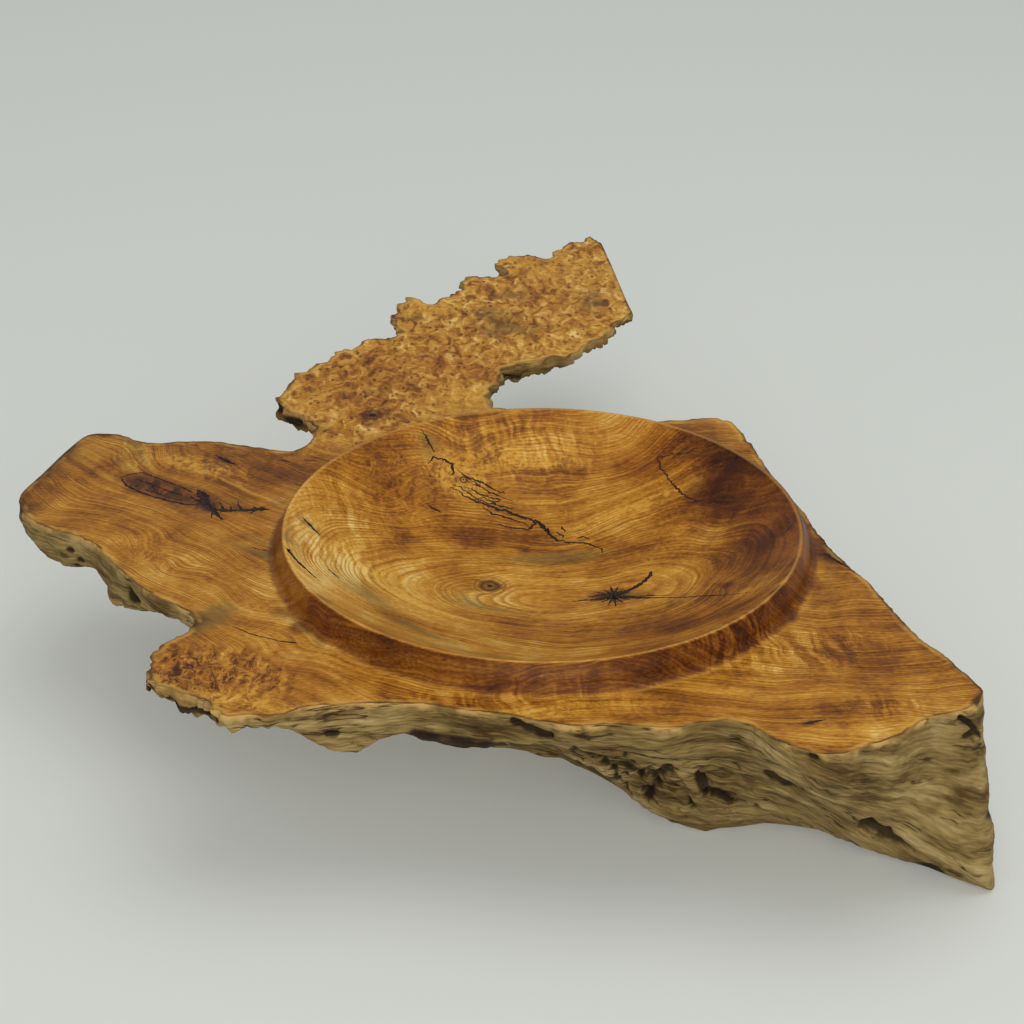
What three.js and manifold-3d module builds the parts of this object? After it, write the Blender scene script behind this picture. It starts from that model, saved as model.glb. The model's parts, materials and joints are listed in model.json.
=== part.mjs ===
// A live-edge centrepiece made from one maple burl. The burl is sawn flat on top and keeps
// its natural, knobbly sides. A shallow round dish with a low raised collar is turned into
// the sawn face, and the underside is a lumpy dome that has been planed flat where it stands.
// It grew as one piece of wood, so it is one solid and one mesh.
//
// Millimetres, +Z up. The origin is where the axis of the dish meets the table.

import * as THREE from "three";
import { mergeVertices } from "three/addons/utils/BufferGeometryUtils.js";
import Module from "manifold-3d";

// ---------------------------------------------------------------- driving dimensions

const SAWN_Z = 150; // height of the flat sawn face above the table
const COLLAR_RISE = 20; // the lip stands this far above the sawn face
const LIP_R = 190; // radius of the lip's crest
const LIP_HALF_WIDTH = 2; // the lip is rounded over this half width
const COLLAR_FOOT_R = 197; // radius of the collar's wall just above the cove
const COVE = 8; // radius of the hollow between the collar and the sawn face
const DISH_DEPTH = 58; // from the lip down to the middle of the dish
const DISH_POWER = 2.5; // above 2, so the floor is flatter and the wall steeper than a bowl cut from a ball
const TURNING_STEPS = 96; // facets round the dish
const EDGE_STEP = 10; // longest facet along the natural edge
const GRID_STEP = 13; // facet size on the underside
const DOMED = 0.6; // below 1, the underside falls slowly at its edge and steeply at the foot
const HOLLOWED = 1.15; // above 1, it falls steeply at its edge: where the foot is near the edge
const HOLLOWED_SPAN = 130; // how near that is

// ---------------------------------------------------------------- the natural edge

// The edge of the sawn face, anticlockwise. Each point is [x, y, side], where side is how
// deep the bark-stripped wood drops below the edge there before it turns under.
const WING = [
  // the broad wing to the left, from its tip forwards to the notch
  [-398, 70, 13], [-391, 54, 17], [-378, 38, 25], [-355, 23, 28], [-334, 11, 22],
  [-320, -11, 30], [-302, -41, 24], [-281, -65, 15], [-259, -83, 14], [-250, -95, 12],
  [-246, -108, 9],
];
const BURLED_LOBE = [
  // the thin lobe of curly burl in front of the wing
  [-250, -120, 8], [-261, -131, 8], [-272, -144, 9], [-270, -158, 8], [-277, -172, 8],
  [-276, -185, 10], [-264, -193, 14], [-239, -205, 16], [-219, -219, 13], [-207, -225, 10],
  [-190, -228, 9], [-174, -224, 10], [-160, -216, 24],
];
const FRONT = [
  // the long front edge, a brow that overhangs more and more towards the right corner
  [-136, -213, 34], [-111, -212, 24], [-85, -212, 19], [-60, -219, 21], [-22, -226, 17],
  [10, -237, 11], [49, -238, 14], [86, -241, 16], [102, -236, 20], [120, -233, 22],
  [136, -237, 22], [150, -251, 20], [168, -266, 20], [181, -273, 20], [195, -273, 22],
  [213, -260, 28], [232, -251, 38], [246, -236, 54], [261, -225, 78], [279, -218, 115],
  [294, -208, 150],
];
const RIGHT_SIDE = [
  // the long, nearly straight side where the burl was parted from the trunk
  [298, -198, 150], [280, -154, 150], [251, -98, 150], [236, -53, 150], [214, -4, 140],
  [186, 92, 110], [153, 206, 70], [145, 212, 60], [122, 211, 50],
];
const BACK = [
  // behind the dish
  [98, 206, 44], [60, 212, 40], [20, 217, 36], [-15, 223, 30], [-36, 232, 14],
];
const ARM_INNER_EDGE = [
  // the arm that reaches back, up its near side
  [-41, 256, 9], [-38, 272, 8], [-31, 288, 10], [-30, 303, 10], [-19, 310, 12],
  [8, 323, 12], [26, 327, 10], [38, 341, 8], [48, 357, 7], [58, 366, 7],
  [66, 384, 7], [72, 399, 7], [82, 400, 7],
];
const ARM_END = [
  // sawn straight across
  [83, 405, 8], [79, 429, 12], [73, 471, 15], [64, 532, 12], [56, 574, 8],
];
const ARM_OUTER_EDGE = [
  // knob after knob, back down the far side of the arm
  [50, 581, 7], [41, 566, 7], [30, 566, 7], [23, 550, 7], [14, 546, 7],
  [9, 527, 8], [-3, 538, 7], [-18, 537, 7], [-35, 526, 7], [-37, 516, 7],
  [-30, 503, 8], [-38, 489, 8], [-52, 495, 7], [-66, 488, 7], [-70, 475, 7],
  [-65, 461, 8], [-78, 445, 7], [-87, 441, 7], [-91, 430, 7], [-99, 431, 7],
  [-107, 445, 7], [-115, 445, 7], [-124, 417, 7], [-129, 405, 7], [-122, 392, 8],
  [-118, 375, 8], [-124, 366, 8], [-145, 363, 8], [-153, 347, 8], [-163, 342, 8],
  [-187, 306, 8], [-199, 299, 8], [-206, 276, 10], [-208, 259, 12], [-216, 246, 14],
  [-210, 236, 12], [-198, 219, 9], [-183, 206, 12], [-179, 190, 16], [-184, 166, 20],
];
const WING_BACK = [
  // the back of the wing, to the straight cut across its end
  [-193, 156, 24], [-218, 160, 27], [-238, 165, 28], [-262, 172, 29], [-290, 171, 29],
  [-311, 169, 28], [-335, 184, 26], [-358, 184, 24], [-371, 160, 22], [-386, 118, 20],
  [-398, 84, 18],
];

// The outline of the flat that it stands on, anticlockwise: [x, y].
const FOOT = [
  [-70, -5], [-45, -45], [5, -55], [30, -68], [60, -98], [86, -134], [118, -150], [160, -136],
  [204, -142], [248, -170], [290, -205], [310, -228], [312, -200], [280, -154], [251, -98], [236, -53],
  [205, 0], [165, 85], [110, 130], [40, 140], [-30, 110], [-70, 50],
];

// Wood that hangs below the general slope of the underside: [x, y, extra depth, spread].
const SWELLINGS = [
  [-134, -194, 14, 16], // a rounded knob under the front edge
  [-304, -16, 16, 12], // a knob under the wing
];
// The root flare leans outwards towards the table: at the table it has moved this far.
const FLARE = { x: 298, y: -205, reach: 85, lean: [18, -15] };

// ---------------------------------------------------------------- shared helpers

const wasm = await Module();
wasm.setup();

// A closed three.js geometry as a manifold-3d solid.
function solidOf(geometry) {
  const bare = geometry.clone();
  bare.deleteAttribute("normal");
  bare.deleteAttribute("uv");
  const merged = mergeVertices(bare, 1e-4);
  return new wasm.Manifold(
    new wasm.Mesh({
      numProp: 3,
      vertProperties: new Float32Array(merged.attributes.position.array),
      triVerts: new Uint32Array(merged.index.array),
    }),
  );
}

// A manifold-3d solid as a three.js geometry.
function geometryOf(solid) {
  const mesh = solid.getMesh();
  const positions = new Float32Array(mesh.numVert * 3);
  for (let i = 0; i < mesh.numVert; i++) {
    positions.set(mesh.vertProperties.subarray(i * mesh.numProp, i * mesh.numProp + 3), i * 3);
  }
  return new THREE.BufferGeometry()
    .setAttribute("position", new THREE.BufferAttribute(positions, 3))
    .setIndex(new THREE.BufferAttribute(mesh.triVerts, 1));
}

// ---------------------------------------------------------------- the edge as a curve

// Points along the edge, no further apart than EDGE_STEP. z holds the side's depth.
function edgePoints() {
  const corners = [
    ...WING, ...BURLED_LOBE, ...FRONT, ...RIGHT_SIDE, ...BACK,
    ...ARM_INNER_EDGE, ...ARM_END, ...ARM_OUTER_EDGE, ...WING_BACK,
  ].map(([x, y, side]) => new THREE.Vector3(x, y, side));
  const curve = new THREE.CatmullRomCurve3(corners, true, "centripetal");
  const points = [];
  corners.forEach((corner, i) => {
    const next = corners[(i + 1) % corners.length];
    const gap = Math.hypot(next.x - corner.x, next.y - corner.y);
    const steps = Math.max(1, Math.round(gap / EDGE_STEP));
    for (let s = 0; s < steps; s++) {
      points.push(curve.getPoint((i + s / steps) / corners.length));
    }
  });
  return points;
}

const EDGE = edgePoints();

// How far (x, y) is in plan from a closed outline, and the value of z there.
function nearest(outline, x, y) {
  let distance = Infinity;
  let weights = 0;
  let total = 0;
  outline.forEach((a, i) => {
    const b = outline[(i + 1) % outline.length];
    const dx = b.x - a.x;
    const dy = b.y - a.y;
    const along = ((x - a.x) * dx + (y - a.y) * dy) / (dx * dx + dy * dy);
    const t = THREE.MathUtils.clamp(along, 0, 1);
    const d = Math.hypot(x - a.x - t * dx, y - a.y - t * dy);
    const weight = 1 / (d * d * d + 1);
    distance = Math.min(distance, d);
    weights += weight;
    total += weight * (a.z + t * (b.z - a.z));
  });
  return { distance, z: total / weights };
}

// Whether (x, y) is inside a closed outline: a line drawn to the right crosses it an odd
// number of times.
function inside(outline, x, y) {
  let odd = false;
  outline.forEach((a, i) => {
    const b = outline[(i + 1) % outline.length];
    if (a.y > y !== b.y > y && x < a.x + ((y - a.y) / (b.y - a.y)) * (b.x - a.x)) odd = !odd;
  });
  return odd;
}

// ---------------------------------------------------------------- the sawn slab

const STANDS_ON = FOOT.map(([x, y]) => new THREE.Vector3(x, y, 0));

// Height of the natural underside at (x, y): it runs from the edge down to the foot, where it
// is planed flat.
function undersideHeight(x, y) {
  if (inside(STANDS_ON, x, y)) return 0;
  const edge = nearest(EDGE, x, y);
  const fromEdge = inside(EDGE, x, y) ? edge.distance : 0;
  const toFoot = nearest(STANDS_ON, x, y).distance;
  const span = fromEdge + toFoot;
  const hollowed = Math.exp(-((span / HOLLOWED_SPAN) ** 4));
  const curve = DOMED + (HOLLOWED - DOMED) * hollowed;
  let height = (SAWN_Z - edge.z) * (toFoot / span) ** curve;
  for (const [sx, sy, extra, spread] of SWELLINGS) {
    height -= extra * Math.exp(-((x - sx) ** 2 + (y - sy) ** 2) / (2 * spread * spread));
  }
  const ripple = 2.5 * Math.sin(x / 17 + 1.3 * Math.sin(y / 31)) * Math.sin(y / 23);
  return Math.max(0, height + ripple * Math.min(1, toFoot / 40));
}

// A block that is flat above the sawn face and has the natural underside below.
function undersideBlock() {
  const low = new THREE.Box2().setFromPoints(EDGE.map((p) => new THREE.Vector2(p.x, p.y)));
  low.expandByScalar(GRID_STEP);
  const size = low.getSize(new THREE.Vector2());
  const centre = low.getCenter(new THREE.Vector2());
  const block = new THREE.BoxGeometry(
    size.x, size.y, 2,
    Math.round(size.x / GRID_STEP), Math.round(size.y / GRID_STEP), 1,
  );
  const position = block.attributes.position;
  for (let i = 0; i < position.count; i++) {
    const x = position.getX(i) + centre.x;
    const y = position.getY(i) + centre.y;
    const z = position.getZ(i) > 0 ? SAWN_Z + 5 : undersideHeight(x, y);
    position.setXYZ(i, x, y, z);
  }
  return block;
}

// The outline of the sawn face, drawn straight down past the table.
function outlinePrism() {
  const shape = new THREE.Shape(EDGE.map((p) => new THREE.Vector2(p.x, p.y)));
  const prism = new THREE.ExtrudeGeometry(shape, {
    depth: SAWN_Z + 10,
    bevelEnabled: false,
    steps: 1,
  });
  return prism.translate(0, 0, -10);
}

// Leans the right corner outwards, more the lower it is.
function flare(vertex) {
  const away = Math.hypot(vertex[0] - FLARE.x, vertex[1] - FLARE.y) / FLARE.reach;
  const share = Math.exp(-away * away) * (1 - vertex[2] / SAWN_Z) ** 2;
  vertex[0] += FLARE.lean[0] * share;
  vertex[1] += FLARE.lean[1] * share;
}

function slab() {
  return solidOf(outlinePrism()).intersect(solidOf(undersideBlock())).warp(flare);
}

// ---------------------------------------------------------------- the turned dish

const LIP_Z = SAWN_Z + COLLAR_RISE;
const DISH_R = LIP_R - LIP_HALF_WIDTH;

// A profile of [radius, height] points turned about the dish's axis.
function turned(profile) {
  const points = profile.map(([r, z]) => new THREE.Vector2(r, z));
  return solidOf(new THREE.LatheGeometry(points, TURNING_STEPS).rotateX(Math.PI / 2));
}

// The collar: a disc whose rim runs up from the sawn face through the cove to the lip.
function collar() {
  const coveFoot = COLLAR_FOOT_R + COVE;
  const profile = [[0, SAWN_Z - 10], [coveFoot, SAWN_Z - 10]];
  const COVE_STEPS = 4;
  for (let i = 0; i <= COVE_STEPS; i++) {
    const a = (i / COVE_STEPS) * (Math.PI / 2);
    profile.push([coveFoot - COVE * Math.sin(a), SAWN_Z + COVE * (1 - Math.cos(a))]);
  }
  profile.push([LIP_R + LIP_HALF_WIDTH, LIP_Z - LIP_HALF_WIDTH]);
  profile.push([LIP_R + 1, LIP_Z - 0.4], [LIP_R, LIP_Z], [0, LIP_Z]);
  return turned(profile);
}

// The hollow: the air that the turner's gouge leaves inside the lip.
function dishHollow() {
  const profile = [];
  const WALL_STEPS = 12;
  for (let i = 0; i <= WALL_STEPS; i++) {
    const share = i / WALL_STEPS;
    const drop = (DISH_DEPTH - LIP_HALF_WIDTH / 2) * (1 - share ** DISH_POWER);
    profile.push([DISH_R * share, LIP_Z - LIP_HALF_WIDTH / 2 - drop]);
  }
  profile.push([LIP_R, LIP_Z], [LIP_R, LIP_Z + 10], [0, LIP_Z + 10]);
  return turned(profile);
}

// ---------------------------------------------------------------- the model

const burl = new THREE.Mesh(
  geometryOf(slab().add(collar()).subtract(dishHollow())),
  new THREE.MeshStandardMaterial({ color: 0xb0713a, roughness: 0.4, metalness: 0 }),
);
burl.name = "maple_burl";

const model = new THREE.Group();
model.add(burl);

export default model;
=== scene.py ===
# %% [markdown]
# # A live-edge maple burl dish
# A burl is the knobbly growth on the side of a maple. This one was sawn flat across the top,
# left natural all round, and put on a lathe, where a shallow dish with a low collar was turned
# into the sawn face. The lesson follows the maker: rough blank, natural sides, saw cut,
# turning, old cracks, and last the finish. First the plain model of the whole thing is
# loaded. It fixes the size and the place of everything that follows.

# %% Load the frame
import json
import math

import bpy
import numpy as np
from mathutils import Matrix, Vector, noise
from mathutils.kdtree import KDTree

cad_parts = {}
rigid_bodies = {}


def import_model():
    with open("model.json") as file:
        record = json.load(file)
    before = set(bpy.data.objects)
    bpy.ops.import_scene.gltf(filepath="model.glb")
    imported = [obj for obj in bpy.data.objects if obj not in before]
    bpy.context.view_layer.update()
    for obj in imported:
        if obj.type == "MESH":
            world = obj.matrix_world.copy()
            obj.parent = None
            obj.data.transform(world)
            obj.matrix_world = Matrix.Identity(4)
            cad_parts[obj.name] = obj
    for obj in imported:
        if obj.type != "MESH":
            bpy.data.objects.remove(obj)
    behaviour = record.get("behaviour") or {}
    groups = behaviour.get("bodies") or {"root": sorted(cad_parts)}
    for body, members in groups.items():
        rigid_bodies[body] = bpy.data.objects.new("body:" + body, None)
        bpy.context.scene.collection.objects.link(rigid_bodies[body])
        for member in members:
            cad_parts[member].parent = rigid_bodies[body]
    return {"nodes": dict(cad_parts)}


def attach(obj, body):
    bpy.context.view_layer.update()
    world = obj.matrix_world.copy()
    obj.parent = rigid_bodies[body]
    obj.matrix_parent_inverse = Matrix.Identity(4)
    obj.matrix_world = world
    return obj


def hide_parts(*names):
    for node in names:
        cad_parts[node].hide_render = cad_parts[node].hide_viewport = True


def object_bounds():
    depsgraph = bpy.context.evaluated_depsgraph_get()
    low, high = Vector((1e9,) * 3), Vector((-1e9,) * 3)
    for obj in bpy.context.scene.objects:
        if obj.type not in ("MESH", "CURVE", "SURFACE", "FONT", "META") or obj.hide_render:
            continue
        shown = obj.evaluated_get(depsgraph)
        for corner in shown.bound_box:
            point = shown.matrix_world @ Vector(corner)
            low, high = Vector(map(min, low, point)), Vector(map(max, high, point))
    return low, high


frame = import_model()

bpy.context.view_layer.update()
FRAME_LOW, FRAME_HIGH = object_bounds()
ROUGH_MODEL = frame["nodes"]["maple_burl"]
print("frame", [round(a, 4) for a in (*FRAME_LOW, *FRAME_HIGH)])

# %% [markdown]
# The whole piece hangs on a few sizes. The lip is the highest point, so the frame gives its
# height, and the sawn face lies one collar below it. Lengths are in metres, as Blender has
# them, and MM makes the small ones readable.

# %% Sizes
MM = 0.001
LIP_Z = FRAME_HIGH.z
COLLAR_RISE = 20 * MM
SAWN_Z = LIP_Z - COLLAR_RISE
DISH_R = 188 * MM  # inside of the lip
DISH_RISE = 57 * MM  # from the dish's middle up to the inside of the lip
DISH_POWER = 2.5  # above 2, so the floor is flatter and the wall steeper than a ball's
DISH_EDGE_Z = LIP_Z - 1 * MM


def dish_height(r):
    """Height of the dish's surface at radius r."""
    return DISH_EDGE_Z - DISH_RISE * (1 - (r / DISH_R) ** DISH_POWER)


def smooth_step(low, high, x):
    """0 below low, 1 above high, and an even curve between."""
    t = np.clip((x - low) / (high - low), 0, 1)
    return t * t * (3 - 2 * t)


print("sawn face at", round(SAWN_Z, 4), "middle of the dish at", round(dish_height(0), 4))

# %% [markdown]
# Three short helpers stand in for what a hand does in Blender's window: picking one object,
# adding a modifier and applying it, and cutting or joining with another solid.

# %% Helpers
def only(piece):
    """Selects one object and makes it the active one."""
    bpy.ops.object.select_all(action="DESELECT")
    piece.select_set(True)
    bpy.context.view_layer.objects.active = piece


def apply_modifier(piece, kind, **settings):
    only(piece)
    modifier = piece.modifiers.new(kind.lower(), kind)
    for name, value in settings.items():
        setattr(modifier, name, value)
    bpy.ops.object.modifier_apply(modifier=modifier.name)


def combine(piece, operation, tool):
    """Joins the tool to the piece or cuts it away, and throws the tool away."""
    apply_modifier(
        piece, "BOOLEAN", operation=operation, solver="MANIFOLD", object=tool, material_mode="TRANSFER"
    )
    bpy.data.objects.remove(tool)


def new_material(name):
    material = bpy.data.materials.new(name)
    material.use_nodes = True
    return material


POLISHED = new_material("oiled_burl")
NATURAL = new_material("natural_edge")
CRACK = new_material("old_crack")

# %% [markdown]
# The blank is a copy of the frame's solid, so the outline is right from the start. Its top is
# opened, and the open edge is drawn up past the sawn face. The saw comes later, and wood has
# to stand above its line for the cut to be crisp. A voxel remesh then turns the long thin
# triangles into an even skin that takes carving.

# %% The blank
def blank_of(model, name):
    blank = bpy.data.objects.new(name, model.data.copy())
    bpy.context.scene.collection.objects.link(blank)
    blank.data.materials.clear()
    only(blank)
    bpy.ops.object.mode_set(mode="EDIT")
    bpy.ops.mesh.select_all(action="SELECT")
    bpy.ops.mesh.remove_doubles(threshold=1e-6)
    bpy.ops.mesh.select_all(action="DESELECT")
    bpy.ops.object.mode_set(mode="OBJECT")
    for face in blank.data.polygons:
        in_dish = math.hypot(*face.center.xy) < DISH_R + MM and face.normal.z > 0.2
        face.select = face.center.z > SAWN_Z - 0.2 * MM or (in_dish and face.center.z > 0.1)
    bpy.ops.object.mode_set(mode="EDIT")
    bpy.ops.mesh.select_mode(type="FACE")
    bpy.ops.mesh.delete(type="FACE")
    bpy.ops.mesh.select_mode(type="EDGE")
    bpy.ops.mesh.select_non_manifold(extend=False)
    bpy.ops.mesh.extrude_region_move(TRANSFORM_OT_translate={"value": (0, 0, ABOVE_SAW)})
    bpy.ops.mesh.edge_face_add()
    bpy.ops.object.mode_set(mode="OBJECT")
    return blank


ABOVE_SAW = 12 * MM  # wood left above the sawn face
SKIN = 2.4 * MM  # size of the skin's faces
burl = blank_of(ROUGH_MODEL, "live_edge_burl")
apply_modifier(burl, "REMESH", mode="VOXEL", voxel_size=SKIN)
apply_modifier(burl, "SMOOTH", factor=0.5, iterations=4)
burl.data.materials.clear()
burl.data.materials.append(NATURAL)
print("blank", len(burl.data.vertices), "vertices")

# %% [markdown]
# Under its bark a burl is not smooth. It has soft swellings, fine ridges that run along the
# grain, fissures where it dried, and a few deep hollows where a twig or a grub was. Long
# cracks run down it and along it, and rolls lie close under the front edge, darkened near black.
# Along the reaching arm and the small lobe the growth is all tiny buds, so the edge there is
# ragged and knobbly. Noise says how far a point moves in or out, and lists say where each
# hollow, crack and roll lies. It is done in code because no modifier knows which part of the
# edge it is on.

# %% Where the growth is knobbly
BUDDED = [
    # x, y, reach: patches of the edge that are all buds, in millimetres
    (-130, 300, 120), (-20, 480, 150), (60, 370, 70), (-195, 260, 60), (-250, -190, 62),
]
GNARLED = [
    # x, y, z, reach: patches of the side that are folded and twisted, in millimetres
    (95, -195, 62, 48), (60, -180, 76, 34), (130, -190, 52, 30), (-310, -10, 112, 16),
    (-30, -205, 112, 16),
]
SAWN_ENDS = [
    # a point on each straight end cut and the way it faces, in the plan
    ((70, 490), (0.987, 0.16)), ((-379, 134), (-0.926, 0.378)),
]
END_HALF_LENGTH = 70  # how far each end cut runs to either side of its point
HOLLOWS = [
    # x, y, z, reach and depth of the deep hollows, in millimetres
    (274, -197, 7, 14, 6), (300, -206, 60, 14, 3), (-200, 222, 140, 13, 5), (-191, 214, 138, 9, 5),
    (-353, 22, 136, 5, 4), (-346, 18, 129, 5, 4), (-349, 19, 124, 4, 3), (-301, -40, 133, 12, 8),
    (-144, -213, 127, 7, 4), (199, -205, 51, 6, 4), (-211, 245, 143, 10, 4),
    (-262, -196, 138, 8, 5), (-240, -208, 137, 7, 5), (287, -216, 128, 7, 6),
    (189, -266, 149, 8, 7), (176, -268, 146, 6, 4), (-396, 66, 146, 8, 6),
    (-331, -24, 146, 8, 5), (-292, -178, 153, 20, 12), (-274, -203, 153, 16, 10),
    (-250, -217, 152, 12, 7), (-192, 236, 152, 14, 8), (-188, 262, 152, 10, 6),
    (291, -205, 150, 9, 6), (262, -232, 151, 7, 4),
]
LONG_CRACKS = [
    # half width, depth, then the points (x, y, z) along it, in millimetres
    (3.2, 9, [(83, -208, 94), (79, -194, 80), (77, -178, 61), (73, -159, 35)]),
    (2.6, 6, [(38, -206, 101), (47, -181, 76), (61, -144, 31)]),
    (2.6, 7, [(103, -204, 86), (112, -204, 74), (118, -198, 66), (131, -190, 57), (150, -180, 48)]),
    (2.2, 5, [(60, -190, 90), (66, -180, 70), (70, -176, 52)]),
    (2.4, 5, [(92, -200, 70), (100, -188, 54), (104, -173, 38)]),
    (2.4, 5, [(20, -212, 114), (38, -210, 104), (58, -206, 98)]),
    (5.5, 14, [(222, -215, 50), (235, -211, 40), (250, -200, 26)]),
    (2.0, 4, [(279, -219, 144), (285, -217, 139), (291, -214, 132), (297, -208, 122)]),
    (2.3, 6, [(-22, -227, 145), (-10, -231, 142), (3, -235, 139)]),
    (2.4, 5, [(150, -222, 100), (166, -226, 92), (184, -224, 84)]),
    (2.4, 4, [(-318, -8, 128), (-304, -34, 134), (-296, -46, 132)]),
    (2.4, 5, [(-284, -178, 141), (-268, -192, 139), (-244, -203, 138), (-222, -212, 138)]),
]
DARK_ROLLS = [
    # x, y, z, reach and rise: rolls left under the front edge, darkened near black, in millimetres
    (-80, -208, 126, 16, 7), (-58, -208, 124, 18, 9), (-36, -210, 126, 16, 8), (-16, -216, 130, 12, 5),
]
# The long cracks are laid on from the front, along this direction, and go no further through.
INWARD = np.array((0, 0.875, -0.483))
CRACK_REACH = 25
FAR_AWAY = 99.0


def to_line(places, points):
    """How far each place is from a line through the points, as it looks from the front."""
    nearest = np.full(len(places), FAR_AWAY)
    for first, second in zip(points, points[1:]):
        run = np.subtract(second, first)
        share = np.clip((places - first) @ run / (run @ run), 0, 1)
        away = places - first - share[:, None] * run
        depth = away @ INWARD
        across = np.linalg.norm(away - depth[:, None] * INWARD, axis=1)
        nearest = np.minimum(nearest, np.where(np.abs(depth) < CRACK_REACH, across, FAR_AWAY))
    return nearest


def budded(x, y):
    """1 where the edge is knobbly, 0 where it is plain. Takes millimetres."""
    near = 0.0
    for bx, by, reach in BUDDED:
        near = max(near, 1.35 - math.hypot(x - bx, y - by) / reach)
    return min(1.0, max(0.0, near * 2))


def gnarled(x, y, z):
    """1 in the middle of a twisted patch, 0 away from it. Takes millimetres."""
    near = 0.0
    for gx, gy, gz, reach in GNARLED:
        near = max(near, 1.5 - math.dist((x, y, z), (gx, gy, gz)) / reach)
    return min(1.0, max(0.0, near))


def end_cut(x, y):
    """0 on the straight end cuts, 1 away from them. Takes millimetres."""
    away = FAR_AWAY
    for (px, py), (nx, ny) in SAWN_ENDS:
        off_plane = abs((x - px) * nx + (y - py) * ny)
        away = min(away, max(off_plane, math.hypot(x - px, y - py) - END_HALF_LENGTH))
    return min(1.0, max(0.0, away / 6 - 0.6))


# %% How far the natural surface moves
FOOT_SKIN = 1.5  # the planed foot stays flat: nothing moves below this height, in millimetres
FOOT_FADE = 9  # and from this height up it moves all the way


def swelling(x, y, z):
    return 2.4 * noise.noise((x / 42, y / 42, z / 34)) + 1.1 * noise.noise((x / 15, y / 15, z / 13))


def ridges(x, y, z):
    """Fine ridges along the grain, which runs level with a slow wander."""
    wander = 7 * noise.noise((x / 90, y / 90, z / 70))
    return 0.6 * noise.noise((x / 48, y / 48, (z + wander) / 5.5))


# Beyond these places the wood is sounder, and its fissures have this share of their depth.
SOUND_LEFT = -250
SOUND_RIGHT = 180
SOUND_SHARE = 0.35


def fissure(x, y, z):
    """0 on whole wood, up to 1 in the middle of a drying crack."""
    wander = 9 * noise.noise((x / 60 + 7, y / 60, z / 50))
    line = abs(noise.noise((x / 34, y / 34 + 3, (z + wander) / 11)))
    patch = noise.noise((x / 70 + 11, y / 70, z / 60))
    split = min(1.0, max(0.0, patch * 3 + 0.25))
    is_sound = x > SOUND_RIGHT or x < SOUND_LEFT
    return max(0.0, 1 - line / 0.16) * split * (SOUND_SHARE if is_sound else 1)


def buds(x, y, z):
    """Rounded knobs and small spikes, out from the surface."""
    nearest = noise.voronoi((x / 13, y / 13, z / 15))[0][0]
    spike = max(0.0, noise.noise((x / 4.5, y / 4.5, z / 14 + 5)))
    lobe = noise.voronoi((x / 27, y / 27, z / 40))[0][0]
    return 8.0 * (0.5 - nearest) + 7.0 * (0.45 - lobe) + 5.0 * spike - 0.5


def gnarls(x, y, z):
    """Folded, twisted growth, as on the big lump under the front edge."""
    fold = abs(noise.noise((x / 24 + 2, y / 24, z / 17)))
    return 13 * (fold - 0.22) - 6 * crease(x, y, z)


def crease(x, y, z):
    """1 along the bottom of a long dark crease between two folds."""
    slope = 0.45 * x
    line = abs(noise.noise((x / 34 + 2, y / 34, (z + slope) / 12)))
    return max(0.0, 1 - line / 0.13)


def chips(x, y, z):
    return 0.9 * noise.noise((x / 6, y / 6, z / 8)) + 0.5 * noise.noise((x / 3, y / 3, z / 4))


def dent_at(x, y, z, spot, reach):
    """1 in the middle of a hollow or a roll, 0 well away from it. Takes millimetres."""
    sx, sy, sz = spot
    away = ((x - sx) ** 2 + (y - sy) ** 2 + ((z - sz) * 1.8) ** 2) / reach**2
    return math.exp(-away * 1.6) if away < 4 else 0


def carve(piece):
    """Moves the natural surface in and out, and returns how hollow each point is."""
    mesh = piece.data
    count = len(mesh.vertices)
    places = np.empty(count * 3)
    mesh.vertices.foreach_get("co", places)
    places = places.reshape(-1, 3) / MM
    normals = np.array([v.normal for v in mesh.vertices])
    hollow = np.zeros(count)
    moved = np.zeros(count)
    top = (SAWN_Z + ABOVE_SAW) / MM - 6
    for i in np.flatnonzero((places[:, 2] > FOOT_SKIN) & (places[:, 2] < top)):
        x, y, z = places[i]
        cut = fissure(x, y, z)
        plain = swelling(x, y, z) + ridges(x, y, z) + chips(x, y, z) - 2.8 * cut
        twisted = gnarled(x, y, z)
        if twisted > 0:
            fold = gnarls(x, y, z)
            plain += twisted * fold
            cut = max(cut, min(1.0, twisted * crease(x, y, z)))
        knobbly = budded(x, y)
        if knobbly > 0:
            plain += knobbly * (buds(x, y, z) - plain * 0.4)
        for *spot, reach, depth in HOLLOWS:
            dent = dent_at(x, y, z, spot, reach)
            plain -= depth * dent
            cut = max(cut, min(1.0, 1.6 * dent))
        for *spot, reach, rise in DARK_ROLLS:
            roll = dent_at(x, y, z, spot, reach) if normals[i, 2] < 0.2 else 0
            plain += rise * roll
            cut = max(cut, min(1.0, 1.8 * roll))
        moved[i] = plain * end_cut(x, y)
        hollow[i] = cut
    for half_width, depth, points in LONG_CRACKS:
        open_by = np.exp(-((to_line(places, points) / half_width) ** 2))
        moved -= depth * open_by
        hollow = np.maximum(hollow, np.minimum(1, 1.6 * open_by))
    settle = smooth_step(FOOT_SKIN, FOOT_FADE, places[:, 2])
    places += normals * (moved * settle)[:, None]
    places[:, 2] = np.maximum(places[:, 2], 0)
    mesh.vertices.foreach_set("co", (places * MM).ravel())
    mesh.update()
    return places, hollow


carved_places, carved_hollow = carve(burl)
print("carved", len(carved_hollow), "points, hollows", int((carved_hollow > 0.5).sum()))

# %% [markdown]
# The saw leaves one flat face. The kerf is the slab of air above its line, made as a fine
# grid so that the new face comes out in small even squares and not as one huge polygon. Small
# faces let the colour of the wood be painted by place later on.

# %% The saw cut
KERF_CELL = 4.5 * MM  # side of the small squares of the new face
KERF_THICKNESS = 30 * MM
KERF_SPARE = 50 * MM  # it is longer and wider than the slab by this much


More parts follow.
